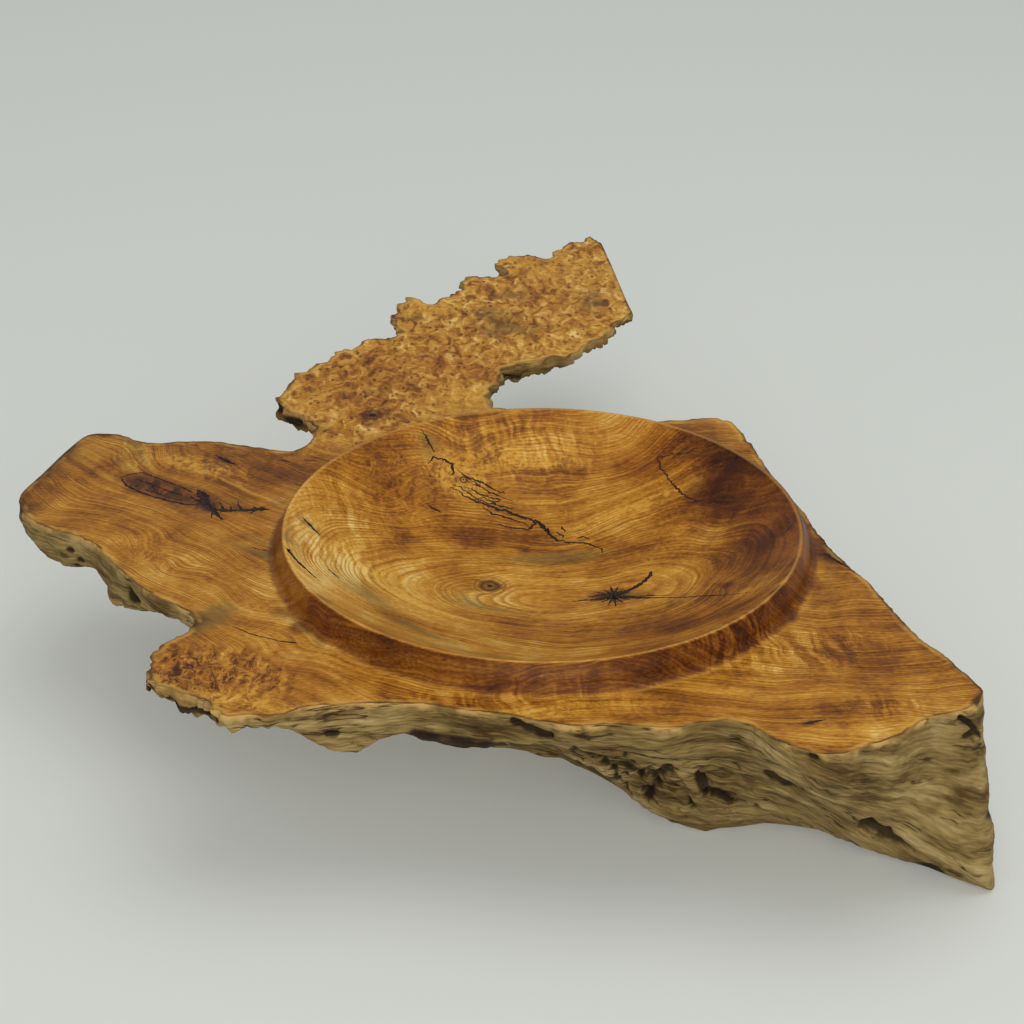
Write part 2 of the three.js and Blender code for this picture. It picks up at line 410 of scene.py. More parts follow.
def saw_kerf(cell, thickness):
    width = FRAME_HIGH.x - FRAME_LOW.x + KERF_SPARE
    depth = FRAME_HIGH.y - FRAME_LOW.y + KERF_SPARE
    middle = (FRAME_LOW + FRAME_HIGH) / 2
    bpy.ops.object.select_all(action="DESELECT")
    bpy.ops.mesh.primitive_grid_add(
        x_subdivisions=round(width / cell),
        y_subdivisions=round(depth / cell),
        size=1,
        location=(middle.x, middle.y, SAWN_Z),
    )
    kerf = bpy.context.object
    kerf.scale = (width, depth, 1)
    bpy.ops.object.transform_apply(location=True, rotation=True, scale=True)
    bpy.ops.object.mode_set(mode="EDIT")
    bpy.ops.mesh.select_all(action="SELECT")
    bpy.ops.mesh.extrude_region_move(TRANSFORM_OT_translate={"value": (0, 0, thickness)})
    bpy.ops.mesh.select_all(action="SELECT")
    bpy.ops.mesh.normals_make_consistent(inside=False)
    bpy.ops.object.mode_set(mode="OBJECT")
    kerf.data.materials.append(POLISHED)
    return kerf


combine(burl, "DIFFERENCE", saw_kerf(KERF_CELL, KERF_THICKNESS))
print("sawn", len(burl.data.polygons), "faces")

# %% [markdown]
# On a lathe the wood turns and the gouge follows a profile, and Spin does the same: one line
# of points is swept round the axis. The whole turned skin, from the middle of the dish over
# the rounded lip, down the collar and out through the cove, is one profile, so no seam shows
# on it. A plug of wood is taken out first, and the turned part goes into the hole.

# %% Turning on the lathe
TURNING_STEPS = 180
LIP_ROUND = 2.1 * MM  # radius of the rounded lip
COVE = 8 * MM  # radius of the hollow at the collar's foot
COVE_FOOT_R = 205 * MM


def turned(name, profile, material):
    """Spins a profile of (radius, height) points into a closed solid."""
    bpy.ops.object.select_all(action="DESELECT")
    bpy.ops.mesh.primitive_plane_add(size=MM, location=(profile[0][0], 0, profile[0][1]))
    piece = bpy.context.object
    piece.name = name
    bpy.ops.object.transform_apply(location=True, rotation=True, scale=True)
    bpy.ops.object.mode_set(mode="EDIT")
    bpy.ops.mesh.select_mode(type="VERT")
    bpy.ops.mesh.select_all(action="SELECT")
    bpy.ops.mesh.merge(type="CENTER")
    for (r0, z0), (r1, z1) in zip(profile, profile[1:]):
        bpy.ops.mesh.extrude_region_move(TRANSFORM_OT_translate={"value": (r1 - r0, 0, z1 - z0)})
    bpy.ops.mesh.select_all(action="SELECT")
    bpy.ops.mesh.spin(steps=TURNING_STEPS, angle=math.tau, center=(0, 0, 0), axis=(0, 0, 1))
    bpy.ops.mesh.select_all(action="SELECT")
    bpy.ops.mesh.remove_doubles(threshold=0.01 * MM)
    bpy.ops.mesh.normals_make_consistent(inside=False)
    bpy.ops.object.mode_set(mode="OBJECT")
    piece.data.materials.append(material)
    return piece


def arc(middle_r, middle_z, radius, start, end, steps):
    """Points on an arc, from one angle to another, in degrees."""
    angles = np.radians(np.linspace(start, end, steps + 1))
    return [(middle_r + radius * math.cos(a), middle_z + radius * math.sin(a)) for a in angles]


def dish_profile(steps, drop=0.0):
    """The dish from its middle to its edge. Points crowd towards the steep wall."""
    radii = DISH_R * np.linspace(0, 1, steps + 1) ** 0.85
    return [(r, dish_height(r) - drop) for r in radii]


# %% The plug that comes out
PLUG_DROP = 6 * MM  # the plug goes this much deeper than the dish
PLUG_R = DISH_R + 8 * MM
PLUG_TOP = LIP_Z + 15 * MM


def plug_profile():
    floor = dish_profile(24, drop=PLUG_DROP)
    return floor + [(PLUG_R, LIP_Z - 8 * MM), (PLUG_R, PLUG_TOP), (0, PLUG_TOP)]


combine(burl, "DIFFERENCE", turned("plug", plug_profile(), NATURAL))
print("plug out", len(burl.data.polygons), "faces")

# %% The dish, lip, collar and cove that go in
BOWL_WALL = 13 * MM  # thickness of the turned part under the dish
BOWL_UNDER_R = 198 * MM
BOWL_UNDER_Z = SAWN_Z - 7 * MM


def bowl_profile():
    lip_r = DISH_R + LIP_ROUND
    lip_z = LIP_Z - LIP_ROUND
    skin = dish_profile(40)
    skin += arc(lip_r, lip_z, LIP_ROUND, 118, 0, 9)
    wall_top = skin[-1]
    cove = arc(COVE_FOOT_R, SAWN_Z + COVE, COVE, 180, 269, 10)
    down_wall = np.array(cove[0]) - wall_top
    skin += [tuple(np.array(wall_top) + down_wall * share) for share in (0.3, 0.65)]
    skin += cove + [(COVE_FOOT_R + 0.6 * MM, SAWN_Z - 0.15 * MM)]
    under = [(BOWL_UNDER_R, BOWL_UNDER_Z)]
    under += [(r, min(z, BOWL_UNDER_Z)) for r, z in reversed(dish_profile(14, drop=BOWL_WALL))]
    return skin + under


combine(burl, "UNION", turned("dish", bowl_profile(), POLISHED))
print("turned", len(burl.data.polygons), "faces", [m.name for m in burl.data.materials])

# %% [markdown]
# Burl wood is full of old cracks, some black with spalt, some with slivers of bark still in
# them. They are real grooves here, because the eye catches it when a line on a dish is only
# printed. Each one is a thin curve that lies on the surface, thicker and thinner as its points
# say. A curve with a bevel is a tube, and the tube is cut away. The faces it leaves keep its
# dark material. Slivers that come free between two cracks fall out, as they would on a bench.

# %% Where the cracks run
# Each crack is a list of (x, y, half width) in millimetres, on the dish or the sawn face.
SPALT_LINES = [
    [(-88, 133, 0.4), (-84, 140, 0.7), (-77, 142, 1.0), (-70, 138, 1.2), (-68, 132, 0.8),
     (-71, 129, 0.3)],
    [(-65, 134, 0.3), (-56, 129, 0.5), (-47, 123, 0.5), (-39, 118, 0.6), (-33, 116, 0.3)],
    [(-52, 110, 0.3), (-44, 114, 0.5), (-38, 110, 0.7), (-30, 106, 0.7), (-22, 105, 0.4)],
    [(-46, 104, 0.3), (-36, 98, 0.7), (-24, 94, 0.8), (-14, 91, 0.6), (-9, 86, 0.3)],
    [(12, 80, 0.3), (15, 77, 1.0), (17, 73, 0.4)],
    [(15, 86, 0.3), (17, 84, 0.9), (19, 81, 0.3)],
    [(27, 71, 0.3), (31, 73, 0.8), (37, 70, 0.5)],
    [(-62, 132, 0.5), (-52, 129, 0.9), (-42, 125, 1.0), (-28, 119, 0.4)],
    [(-70, 118, 0.4), (-54, 110, 0.9), (-40, 105, 1.2), (-28, 102, 1.5), (-17, 98, 1.6),
     (-8, 94, 1.3), (-4, 89, 1.2), (-11, 83, 0.9), (-22, 84, 0.8), (-34, 87, 0.4)],
    [(-58, 127, 0.3), (-44, 121, 0.6), (-32, 116, 0.5), (-22, 112, 0.3)],
    [(-68, 121, 0.3), (-57, 116, 0.7), (-47, 109, 0.5), (-36, 108, 0.8), (-26, 106, 0.4)],
    [(-60, 122, 0.3), (-50, 117, 0.8), (-40, 114, 0.6), (-31, 113, 0.9), (-38, 109, 0.4)],
    [(-6, 94, 0.6), (1, 88, 1.9), (6, 79, 1.6), (12, 70, 1.0), (23, 67, 0.9), (34, 66, 1.0),
     (40, 61, 0.8), (46, 57, 0.7), (47, 50, 0.3)],
    [(122, 134, 0.3), (107, 135, 0.5), (91, 139, 0.6), (94, 127, 0.7), (99, 116, 0.7),
     (105, 105, 0.8), (110, 96, 0.8), (118, 88, 0.6), (134, 80, 0.3)],
    [(-94, 160, 0.3), (-88, 152, 1.0), (-83, 145, 0.5)],
]
BARK_LINES = [
    # round the long inclusion in the wing, its inner lines, its knob and its stem
    [(-325, 110, 0.5), (-318, 117, 0.8), (-309, 119, 0.7), (-298, 112, 0.6), (-288, 104, 0.6),
     (-277, 96, 0.7), (-267, 87, 0.9)],
    [(-324, 109, 0.5), (-319, 98, 1.1), (-308, 88, 1.2), (-296, 80, 0.9), (-283, 73, 1.0),
     (-267, 67, 0.9), (-258, 70, 1.1)],
    [(-313, 109, 0.4), (-303, 102, 0.9), (-292, 94, 0.6), (-284, 88, 0.9), (-274, 82, 0.5)],
    [(-304, 92, 0.5), (-294, 86, 0.9), (-286, 80, 0.5), (-274, 74, 0.7)],
    [(-299, 97, 1.1), (-296, 89, 0.6)],
    [(-264, 92, 0.8), (-259, 83, 3.4), (-257, 74, 4.2), (-252, 64, 2.4), (-245, 52, 1.8),
     (-240, 43, 0.5)],
    [(-268, 80, 0.8), (-258, 70, 2.0), (-249, 56, 1.0), (-249, 46, 0.4)],
    [(-256, 66, 2.2), (-247, 60, 1.4), (-238, 58, 2.6), (-229, 59, 1.2), (-221, 59, 2.0),
     (-214, 61, 2.6), (-206, 60, 0.5)],
    [(-245, 72, 0.3), (-241, 60, 1.5), (-243, 54, 0.3)],
    [(-236, 66, 0.3), (-235, 58, 1.3)],
    [(-231, 73, 0.3), (-230, 66, 0.8), (-227, 59, 1.0)],
    [(-219, 66, 0.3), (-216, 60, 1.4), (-220, 53, 0.3)],
    [(-255, 148, 0.4), (-248, 141, 2.0), (-243, 136, 1.8), (-236, 132, 0.4)],
    [(-204, 141, 0.3), (-200, 139, 1.2), (-196, 137, 0.3)],
    [(-185, 141, 0.3), (-180, 139, 1.1), (-175, 138, 0.3)],
    [(-219, -111, 0.3), (-206, -121, 0.6), (-193, -127, 0.5), (-184, -131, 0.6), (-173, -133, 1.3)],
    [(-216, 2, 0.3), (-205, -3, 0.6), (-198, -5, 0.3)],
    # the right of the slab
    [(207, -7, 0.6), (214, -16, 1.3), (223, -28, 0.5)],
    [(209, 9, 0.4), (215, 2, 1.2), (221, -6, 0.4)],
    [(171, -237, 0.4), (178, -234, 1.5), (187, -231, 0.5)],
    # short slots in the dish
    [(-178, 24, 0.6), (-172, 19, 1.8), (-165, 14, 0.5)],
    [(-187, -29, 0.6), (-184, -37, 1.9), (-177, -46, 1.9), (-168, -54, 1.4), (-160, -60, 0.5)],
    [(-157, -30, 0.4), (-152, -33, 1.2), (-148, -36, 0.4)],
    [(-87, 95, 0.4), (-82, 93, 1.6), (-77, 91, 0.4)],
    [(141, 100, 0.4), (148, 108, 1.3), (156, 116, 0.6)],
    [(174, 0, 0.4), (181, 4, 0.8), (186, 7, 0.5)],
    # the knot in the arm
    [(-138, 218, 1.2), (-135, 218, 2.2), (-132, 218, 1.2)],
]
# A winged shape in the dish, left where a twig died back: its heart, tail and long streaks.
TWIG_HEART = (53, -9)
TWIG_LINES = [
    [(46, -9, 2.0), (53, -8, 3.2), (65, -3, 2.0), (75, 5, 1.5), (81, 14, 1.8), (82, 19, 0.6)],
    [(52, -10, 2.4), (40, -12, 1.6), (32, -12, 1.0), (21, -13, 0.3)],
    [(52, -7, 2.0), (42, -6, 1.4), (34, -7, 0.4)],
    [(55, -10, 2.4), (68, -15, 1.3), (90, -23, 0.5), (118, -38, 0.5), (147, -64, 0.3)],
    [(62, -14, 1.0), (78, -15, 0.6), (96, -22, 0.3)],
]
TWIG_LEGS = [
    # direction in degrees and length
    (24, 14), (50, 12), (74, 14), (98, 16), (122, 13), (146, 15), (168, 14), (196, 14),
    (222, 12), (250, 14), (274, 17), (300, 14), (324, 15), (346, 18),
]


def leg(direction, length):
    x, y = TWIG_HEART
    a = math.radians(direction)
    return [(x, y, 1.5), (x + length * math.cos(a), y + length * math.sin(a), 0.3)]


# %% Cutting the cracks
CRACK_STEP = 1.0  # a point this often along a crack, in millimetres
# How far each kind of crack strays from its points, in millimetres.
SPALT_WANDER = 1.4
BARK_WANDER = 0.4
LEG_WANDER = 0.5


def surface_height(x, y):
    """Height of the polished surface, in metres, at (x, y) in millimetres."""
    r = math.hypot(x, y) * MM
    return dish_height(r) if r < DISH_R else SAWN_Z


def along(points, wander):
    """Close points along a crack, each pushed a little to one side."""
    places = []
    for (x0, y0, w0), (x1, y1, w1) in zip(points, points[1:]):
        length = math.hypot(x1 - x0, y1 - y0)
        for share in np.arange(0, 1, min(0.5, CRACK_STEP / length)):
            x = x0 + (x1 - x0) * share
            y = y0 + (y1 - y0) * share
            x += wander * noise.noise((x / 1.8, y / 1.8, 3)) + wander * noise.noise((x / 6, y / 6, 1))
            y += wander * noise.noise((x / 1.8, y / 1.8, 9)) + wander * noise.noise((x / 6, y / 6, 5))
            width = (w0 + (w1 - w0) * share) * (1 + 0.8 * noise.noise((x / 2.2, y / 2.2, 7)))
            places.append((x, y, width))
    return places + [points[-1]]


def crack_tube(points, wander):
    """A thin closed tube that lies half sunk in the polished surface."""
    places = along(points, wander)
    line = bpy.data.curves.new("crack", "CURVE")
    line.dimensions = "3D"
    line.bevel_depth = MM
    line.bevel_resolution = 1
    line.use_fill_caps = True
    spline = line.splines.new("POLY")
    spline.points.add(len(places) - 1)
    for point, (x, y, half_width) in zip(spline.points, places):
        point.co = (x * MM, y * MM, surface_height(x, y), 1)
        point.radius = half_width
    tube = bpy.data.objects.new("crack", line)
    bpy.context.scene.collection.objects.link(tube)
    only(tube)
    bpy.ops.object.convert(target="MESH")
    tube = bpy.context.object
    bpy.ops.object.mode_set(mode="EDIT")
    bpy.ops.mesh.select_all(action="SELECT")
    bpy.ops.mesh.remove_doubles(threshold=0.01 * MM)
    bpy.ops.mesh.normals_make_consistent(inside=False)
    bpy.ops.object.mode_set(mode="OBJECT")
    tube.data.materials.clear()
    tube.data.materials.append(CRACK)
    return tube


cracks = [(points, SPALT_WANDER) for points in SPALT_LINES]
cracks += [(points, BARK_WANDER) for points in BARK_LINES + TWIG_LINES]
cracks += [(leg(*each), LEG_WANDER) for each in TWIG_LEGS]
network = crack_tube(*cracks[0])
for points, wander in cracks[1:]:
    combine(network, "UNION", crack_tube(points, wander))
print(len(cracks), "cracks,", len(network.data.polygons), "faces")
combine(burl, "DIFFERENCE", network)
print("cracked", len(burl.data.polygons), "faces", [m.name for m in burl.data.materials])


# %% Dropping the crumbs
def drop_crumbs(piece):
    """Only what still holds to the foot stays."""
    only(piece)
    lowest = min(piece.data.vertices, key=lambda v: v.co.z).index
    bpy.ops.object.mode_set(mode="EDIT")
    bpy.ops.mesh.select_mode(type="VERT")
    bpy.ops.mesh.select_all(action="DESELECT")
    bpy.ops.object.mode_set(mode="OBJECT")
    piece.data.vertices[lowest].select = True
    bpy.ops.object.mode_set(mode="EDIT")
    bpy.ops.mesh.select_linked()
    bpy.ops.mesh.select_all(action="INVERT")
    bpy.ops.mesh.delete(type="VERT")
    bpy.ops.object.mode_set(mode="OBJECT")


drop_crumbs(burl)
print("without its crumbs", len(burl.data.polygons), "faces")

# %% [markdown]
# The underside is never seen, so it needs fewer faces than the edge. Only its own faces are
# picked, by the way they face and how far in they lie, and those are thinned. The edge of the
# sawn face, where polished wood meets natural wood, is found from the materials of the faces.

# %% Thinning the underside
UNDERSIDE_SHARE = 0.22  # of its faces that stay
NEAR_EDGE = 14 * MM  # a face this close to the sawn edge is left alone
BELOW_SAW = 6 * MM  # and so is one less than this below the sawn face
FACES_DOWN = -0.45  # a face counts as underside when its normal's z is less than this
CREASE_ANGLE = 38  # edges sharper than this stay crisp, in degrees


def face_values(mesh, name, width):
    values = np.empty(len(mesh.polygons) * width, dtype=float)
    mesh.polygons.foreach_get(name, values)
    return values.reshape(-1, width) if width > 1 else values


def sawn_edge(mesh):
    """A tree of the points where polished and natural faces meet."""
    slots = [m.name for m in mesh.materials]
    kinds = {NATURAL.name: set(), POLISHED.name: set(), CRACK.name: set()}
    for face in mesh.polygons:
        kinds[slots[face.material_index]].update(face.vertices)
    shared = sorted(kinds[NATURAL.name] & kinds[POLISHED.name])
    tree = KDTree(len(shared))
    for i in shared:
        tree.insert(mesh.vertices[i].co, i)
    tree.balance()
    return tree


def thin_underside(piece, share):
    mesh = piece.data
    edge = sawn_edge(mesh)
    centres = face_values(mesh, "center", 3)
    normals = face_values(mesh, "normal", 3)
    picked = (normals[:, 2] < FACES_DOWN) & (centres[:, 2] < SAWN_Z - BELOW_SAW)
    for i in np.flatnonzero(picked):
        x, y, _ = centres[i]
        picked[i] = edge.find((x, y, SAWN_Z))[2] > NEAR_EDGE
    only(piece)
    bpy.ops.object.mode_set(mode="EDIT")
    bpy.ops.mesh.select_mode(type="FACE")
    bpy.ops.mesh.select_all(action="DESELECT")
    bpy.ops.object.mode_set(mode="OBJECT")
    mesh.polygons.foreach_set("select", picked)
    bpy.ops.object.mode_set(mode="EDIT")
    bpy.ops.mesh.decimate(ratio=share)
    bpy.ops.object.mode_set(mode="OBJECT")
    print("thinned", int(picked.sum()), "faces of the underside")


thin_underside(burl, UNDERSIDE_SHARE)
apply_modifier(burl, "TRIANGULATE", min_vertices=4)
only(burl)
bpy.ops.object.shade_smooth_by_angle(angle=math.radians(CREASE_ANGLE))
print("burl", len(burl.data.vertices), "vertices", len(burl.data.polygons), "triangles")

# %% [markdown]
# No two hands' breadths of this wood have the same colour: the rim is pale sapwood, fungus
# has greyed the notch, the arm is burl through and through. So each point of the mesh is given
# a few numbers that say how much of each it has. Some of them paint light and shade: a gleam
# on the dish's far wall, a shine on the lip, a bright line at the collar's foot, and part of the
# dark on the collar's wall and the dish's right wall. They are made from soft ovals placed where
# each patch lies, and the materials read them and break their borders up with noise.

# %% Patches of colour
# Each patch is (x, y, half length, half width, turn in degrees, strength), in millimetres.
PATCHES = {
    "dark": [
        (-292, 95, 40, 14, -37, 0.5), (-254, 66, 16, 16, 0, 0.7), (-228, 60, 36, 14, 0, 0.45),
        (-246, 140, 14, 7, -40, 0.5), (-391, 66, 14, 14, 0, 0.7),
        (55, -9, 24, 9, 0, 0.7), (118, -38, 40, 6, -30, 0.35), (-106, 402, 14, 8, 0, 0.5),
        (149, 108, 26, 9, 50, 0.8), (171, -98, 9, 12, 0, 1.0),
        (-165, -110, 34, 16, -55, 0.6), (-39, 8, 11, 7, 0, 0.5), (-230, 148, 50, 5, 0, 0.4),
        (135, -35, 9, 6, 0, 0.5), (-135, 218, 8, 6, 0, 1.0), (178, -234, 11, 5, 20, 0.6),
        (214, -14, 16, 9, -50, 0.5), (-172, 19, 10, 6, -30, 0.5), (-160, 120, 40, 20, 50, 0.25),
        (-40, 104, 40, 12, -30, 0.2), (8, 78, 16, 12, -50, 0.3), (-177, 200, 10, 16, 0, 0.5),
    ],
    # deep brown wood, and painted shade on the dish's right wall, which faces away from the light
    "deep_brown_and_shade": [
        (176, 20, 30, 100, 0, 1.0), (148, 84, 36, 46, 0, 0.8), (130, 100, 26, 20, -30, 0.3),
        (110, -40, 60, 22, -20, 0.3), (206, 2, 24, 50, 0, 0.5), (-165, -110, 34, 16, -55, 0.5),
        (-196, 60, 8, 60, 0, 0.3),
    ],
    "bark": [(-291, 92, 42, 14, -34, 1.0), (-257, 72, 10, 18, 20, 1.0)],
    "ruddy": [
        (-236, -178, 60, 40, 0, 0.8), (-180, -165, 40, 30, 0, 0.6), (-60, -215, 120, 24, -3, 0.6),
        (90, -215, 90, 30, 0, 0.6), (70, 150, 60, 30, -25, 0.9), (165, 10, 34, 110, 0, 1.0),
        (140, 90, 40, 50, 0, 0.8), (100, -80, 70, 36, 10, 0.7), (40, -10, 60, 26, 0, 0.5),
        (-100, 120, 50, 30, 30, 0.5), (230, -120, 60, 70, 0, 0.45), (-150, 235, 60, 24, 20, 0.5),
        (-50, 300, 60, 30, -20, 0.8), (-130, 280, 100, 50, 40, 0.5), (10, 430, 110, 60, 40, 0.45),
        (40, -120, 110, 30, 0, 0.5), (-300, 95, 60, 24, -35, 0.4), (-230, 50, 50, 16, 0, 0.7),
        (230, 60, 40, 60, 0, 0.25), (-20, 440, 60, 30, 30, 0.4), (-110, 160, 40, 20, 30, 0.5),
        (-285, -14, 34, 14, -30, 0.5),
    ],
    "dim": [
        (-250, 125, 90, 45, -10, 0.9), (-225, -180, 80, 40, 0, 1.0), (-150, -175, 60, 36, 0, 0.8),
        (215, -150, 110, 70, 0, 0.6), (-100, 112, 60, 50, 0, 0.7), (-10, 150, 70, 40, 0, 0.7),
        (120, 120, 60, 50, 0, 0.9), (110, -85, 60, 50, 0, 0.6), (60, -218, 120, 30, 0, 0.4),
        (-140, 270, 110, 80, 40, 0.2),
    ],
    "pale_wood_and_gleam": [
        # lighter wood, and a painted gleam on the far wall of the dish
        (-150, -25, 46, 90, 0, 1.0), (-262, 18, 70, 40, -30, 0.3), (55, 164, 50, 18, 0, 1.0),
        (-90, 10, 60, 40, 0, 0.4), (20, -10, 60, 30, 0, 0.2), (-100, -90, 60, 30, -40, 0.3),
        (-40, -120, 90, 30, -10, 0.5), (190, 205, 60, 40, 0, 0.7), (10, 120, 60, 24, 0, 0.3),
    ],
    "tanned": [
        # darkened along the edge only
        (-372, 130, 40, 80, 22, 1.0), (-320, 186, 70, 24, 0, 0.8), (-391, 66, 30, 30, 0, 0.9),
        (-236, -105, 24, 24, 0, 0.9), (-200, 160, 60, 20, 0, 0.5), (-180, 200, 20, 20, 0, 0.8),
        (-262, -200, 50, 30, -20, 0.6), (-330, -22, 50, 30, -40, 0.4), (300, -160, 40, 80, 0, 0.4),
    ],
    "grey": [
        (-236, -100, 22, 13, 60, 1.0), (-205, -9, 38, 6, -25, 0.7), (-225, 15, 60, 8, -22, 0.4),
        (-41, 409, 26, 18, 0, 0.6), (-25, 380, 40, 16, 10, 0.6), (48, 440, 20, 30, 0, 0.5),
        (-20, 450, 20, 14, 0, 0.5), (14, 47, 42, 9, 4, 0.85), (-110, -70, 60, 9, -38, 0.6),
        (-128, -38, 30, 8, -50, 0.5), (-40, -128, 70, 9, -14, 0.5), (-60, -20, 50, 8, -12, 0.35),
        (-88, 152, 12, 14, 0, 0.6), (-196, 300, 20, 14, 0, 0.4), (-135, 262, 18, 10, 0, 0.4),
        (-358, 150, 20, 12, 0, 0.3), (-320, 150, 18, 30, 0, 0.3),
    ],
    "gold": [
        (-62, 128, 24, 18, -30, 1.0), (-25, 152, 60, 22, 0, 0.6), (0, 110, 50, 22, -20, 0.5),
        (66, 92, 75, 16, 22, 0.55), (-268, 132, 32, 14, -25, 0.8), (-310, 148, 22, 10, -60, 0.7),
        (-236, 98, 14, 7, 0, 0.6), (-120, -5, 60, 20, -35, 0.6), (-30, -226, 110, 12, -3, 0.8),
        (-205, -210, 50, 12, -15, 0.8), (-60, 250, 30, 30, 0, 0.7), (-100, 420, 36, 26, 0, 0.6),
        (20, 505, 42, 36, 0, 0.6), (56, 100, 60, 30, 0, 0.3), (-180, 240, 26, 30, 0, 0.5),
        (20, 335, 50, 12, 20, 0.5), (60, -200, 90, 20, 0, 0.3),
    ],
    "curled": [
        (-25, 158, 70, 26, 0, 1.0), (-60, 128, 26, 18, 0, 0.6), (165, -142, 80, 34, 10, 0.8),
        (-30, -210, 110, 16, 0, 0.8), (-262, 130, 46, 18, -20, 0.9), (-315, 145, 26, 30, 0, 0.8),
        (-150, 0, 36, 40, 0, 0.8), (-285, -14, 30, 18, -30, 0.6), (-150, 60, 40, 60, 0, 0.5),
        (230, -215, 50, 30, 0, 0.5), (100, 60, 80, 50, 0, 0.3),
    ],
    "wormy": [
        (-236, -178, 46, 30, 0, 1.3), (-75, 132, 34, 24, 0, 0.7), (-285, -14, 22, 12, -30, 0.7),
        (-305, 8, 18, 9, -30, 0.6), (-210, -84, 26, 8, 10, 0.8), (-158, -142, 20, 8, -20, 0.8),
        (-120, 120, 30, 20, 0, 0.5),
    ],
    "burled": [
        (-130, 300, 130, 80, 50, 1.6), (-20, 470, 150, 110, 60, 1.8), (-190, 270, 50, 50, 0, 1.2),
        (-236, -178, 52, 34, 0, 1.5), (-75, 132, 40, 30, 0, 0.5), (-110, 110, 40, 40, 0, 0.45),
        (-270, 120, 26, 12, -20, 0.4), (-285, -14, 22, 12, -30, 0.5),
    ],
}
DRAWN_AS_THEY_ARE = ("deep_brown_and_shade", "bark", "ruddy", "grey", "gold", "curled", "wormy", "burled")
CRISP_BARK = 3  # the bark inclusion has a harder border than the rest
# All of these are in millimetres.
LIP_MIDDLE_R = 190
LIP_SHINE_WIDTH = 0.9  # to either side of the lip's middle
COLLAR_TOP = (190.8, 191.8)  # the collar's darker wall, oiled end grain and painted shade, fades in between these radii
COLLAR_FOOT = (200, 204)  # and out between these
# width of the painted highlight round the foot of the cove
FOOT_HIGHLIGHT_WIDTH = 1.5
EDGE_LIMIT = 60.0  # distances from the sawn edge aren't told apart beyond this
TAN_WIDTH = 9  # how far the tanned band reaches in from the edge


def give(mesh, name, values):
    layer = mesh.attributes.new(name, "FLOAT", "POINT")
    layer.data.foreach_set("value", np.asarray(values, dtype=np.float32))


def patch_strength(places, patches, crisp=1):
    """How much of one kind of patch each place has, 0 to 1. A crisp one has a hard border."""
    total = np.zeros(len(places))
    for x, y, length, width, turn, strength in patches:
        a = math.radians(turn)
        dx = places[:, 0] - x
        dy = places[:, 1] - y
        u = (dx * math.cos(a) + dy * math.sin(a)) / length
        v = (dy * math.cos(a) - dx * math.sin(a)) / width
        total = np.maximum(total, strength * np.exp(-0.9 * (u * u + v * v) ** crisp))
    return np.minimum(total, 1)


def paint(piece):
    mesh = piece.data
    edge = sawn_edge(mesh)
    places = np.empty(len(mesh.vertices) * 3)
    mesh.vertices.foreach_get("co", places)
    places = places.reshape(-1, 3) / MM
    for name in DRAWN_AS_THEY_ARE:
        crisp = CRISP_BARK if name == "bark" else 1
        give(mesh, name, patch_strength(places, PATCHES[name], crisp))
    radius = np.hypot(places[:, 0], places[:, 1])
    # The collar's wall is darker: partly oiled end grain, partly painted shade, as the upright wall
    # gets less light.
    give(mesh, "wall", smooth_step(*COLLAR_TOP, radius) * (1 - smooth_step(*COLLAR_FOOT, radius)))
    # A painted highlight: a thin bright line round the cove's foot, at the front only.
    at_front = smooth_step(60, 150, -places[:, 1])
    from_foot = (radius - COVE_FOOT_R / MM) / FOOT_HIGHLIGHT_WIDTH
    give(mesh, "painted_foot_highlight", at_front * np.exp(-(from_foot**2)))
    # A painted highlight: a thin shine along the top of the lip.
    on_top = places[:, 2] > LIP_Z / MM - 0.8
    give(mesh, "painted_lip_highlight", (np.abs(radius - LIP_MIDDLE_R) < LIP_SHINE_WIDTH) * on_top)
    from_edge = np.array([min(EDGE_LIMIT, edge.find(v.co)[2] / MM) for v in mesh.vertices])
    give(mesh, "from_edge", from_edge)
    # Lighter wood and a painted gleam on the far wall of the dish, less the dimmer patches.
    pale_wood_and_gleam = patch_strength(places, PATCHES["pale_wood_and_gleam"])
    give(mesh, "tint_and_gleam", pale_wood_and_gleam - patch_strength(places, PATCHES["dim"]))
    tanned = patch_strength(places, PATCHES["tanned"]) * np.exp(-from_edge / TAN_WIDTH)
    give(mesh, "dark", np.maximum(tanned, patch_strength(places, PATCHES["dark"])))
    carved = KDTree(len(carved_places))
    for i, place in enumerate(carved_places):
        carved.insert(place, i)
    carved.balance()
    found = [carved.find(place) for place in places]
    give(mesh, "hollow", [carved_hollow[i] if away < 3 else 0 for _, i, away in found])


paint(burl)
print("painted", [a.name for a in burl.data.attributes if a.domain == "POINT"])

# %% [markdown]
# Now the finish. Everything in it is worked out from the place of each point, because a tree is
# one solid figure and the saw only shows a slice of it. A colour that is made that way runs
# true over the lip and down the collar, which a picture wrapped round the dish never does.
# First a small helper that adds nodes and joins them, so each finish reads like a recipe.

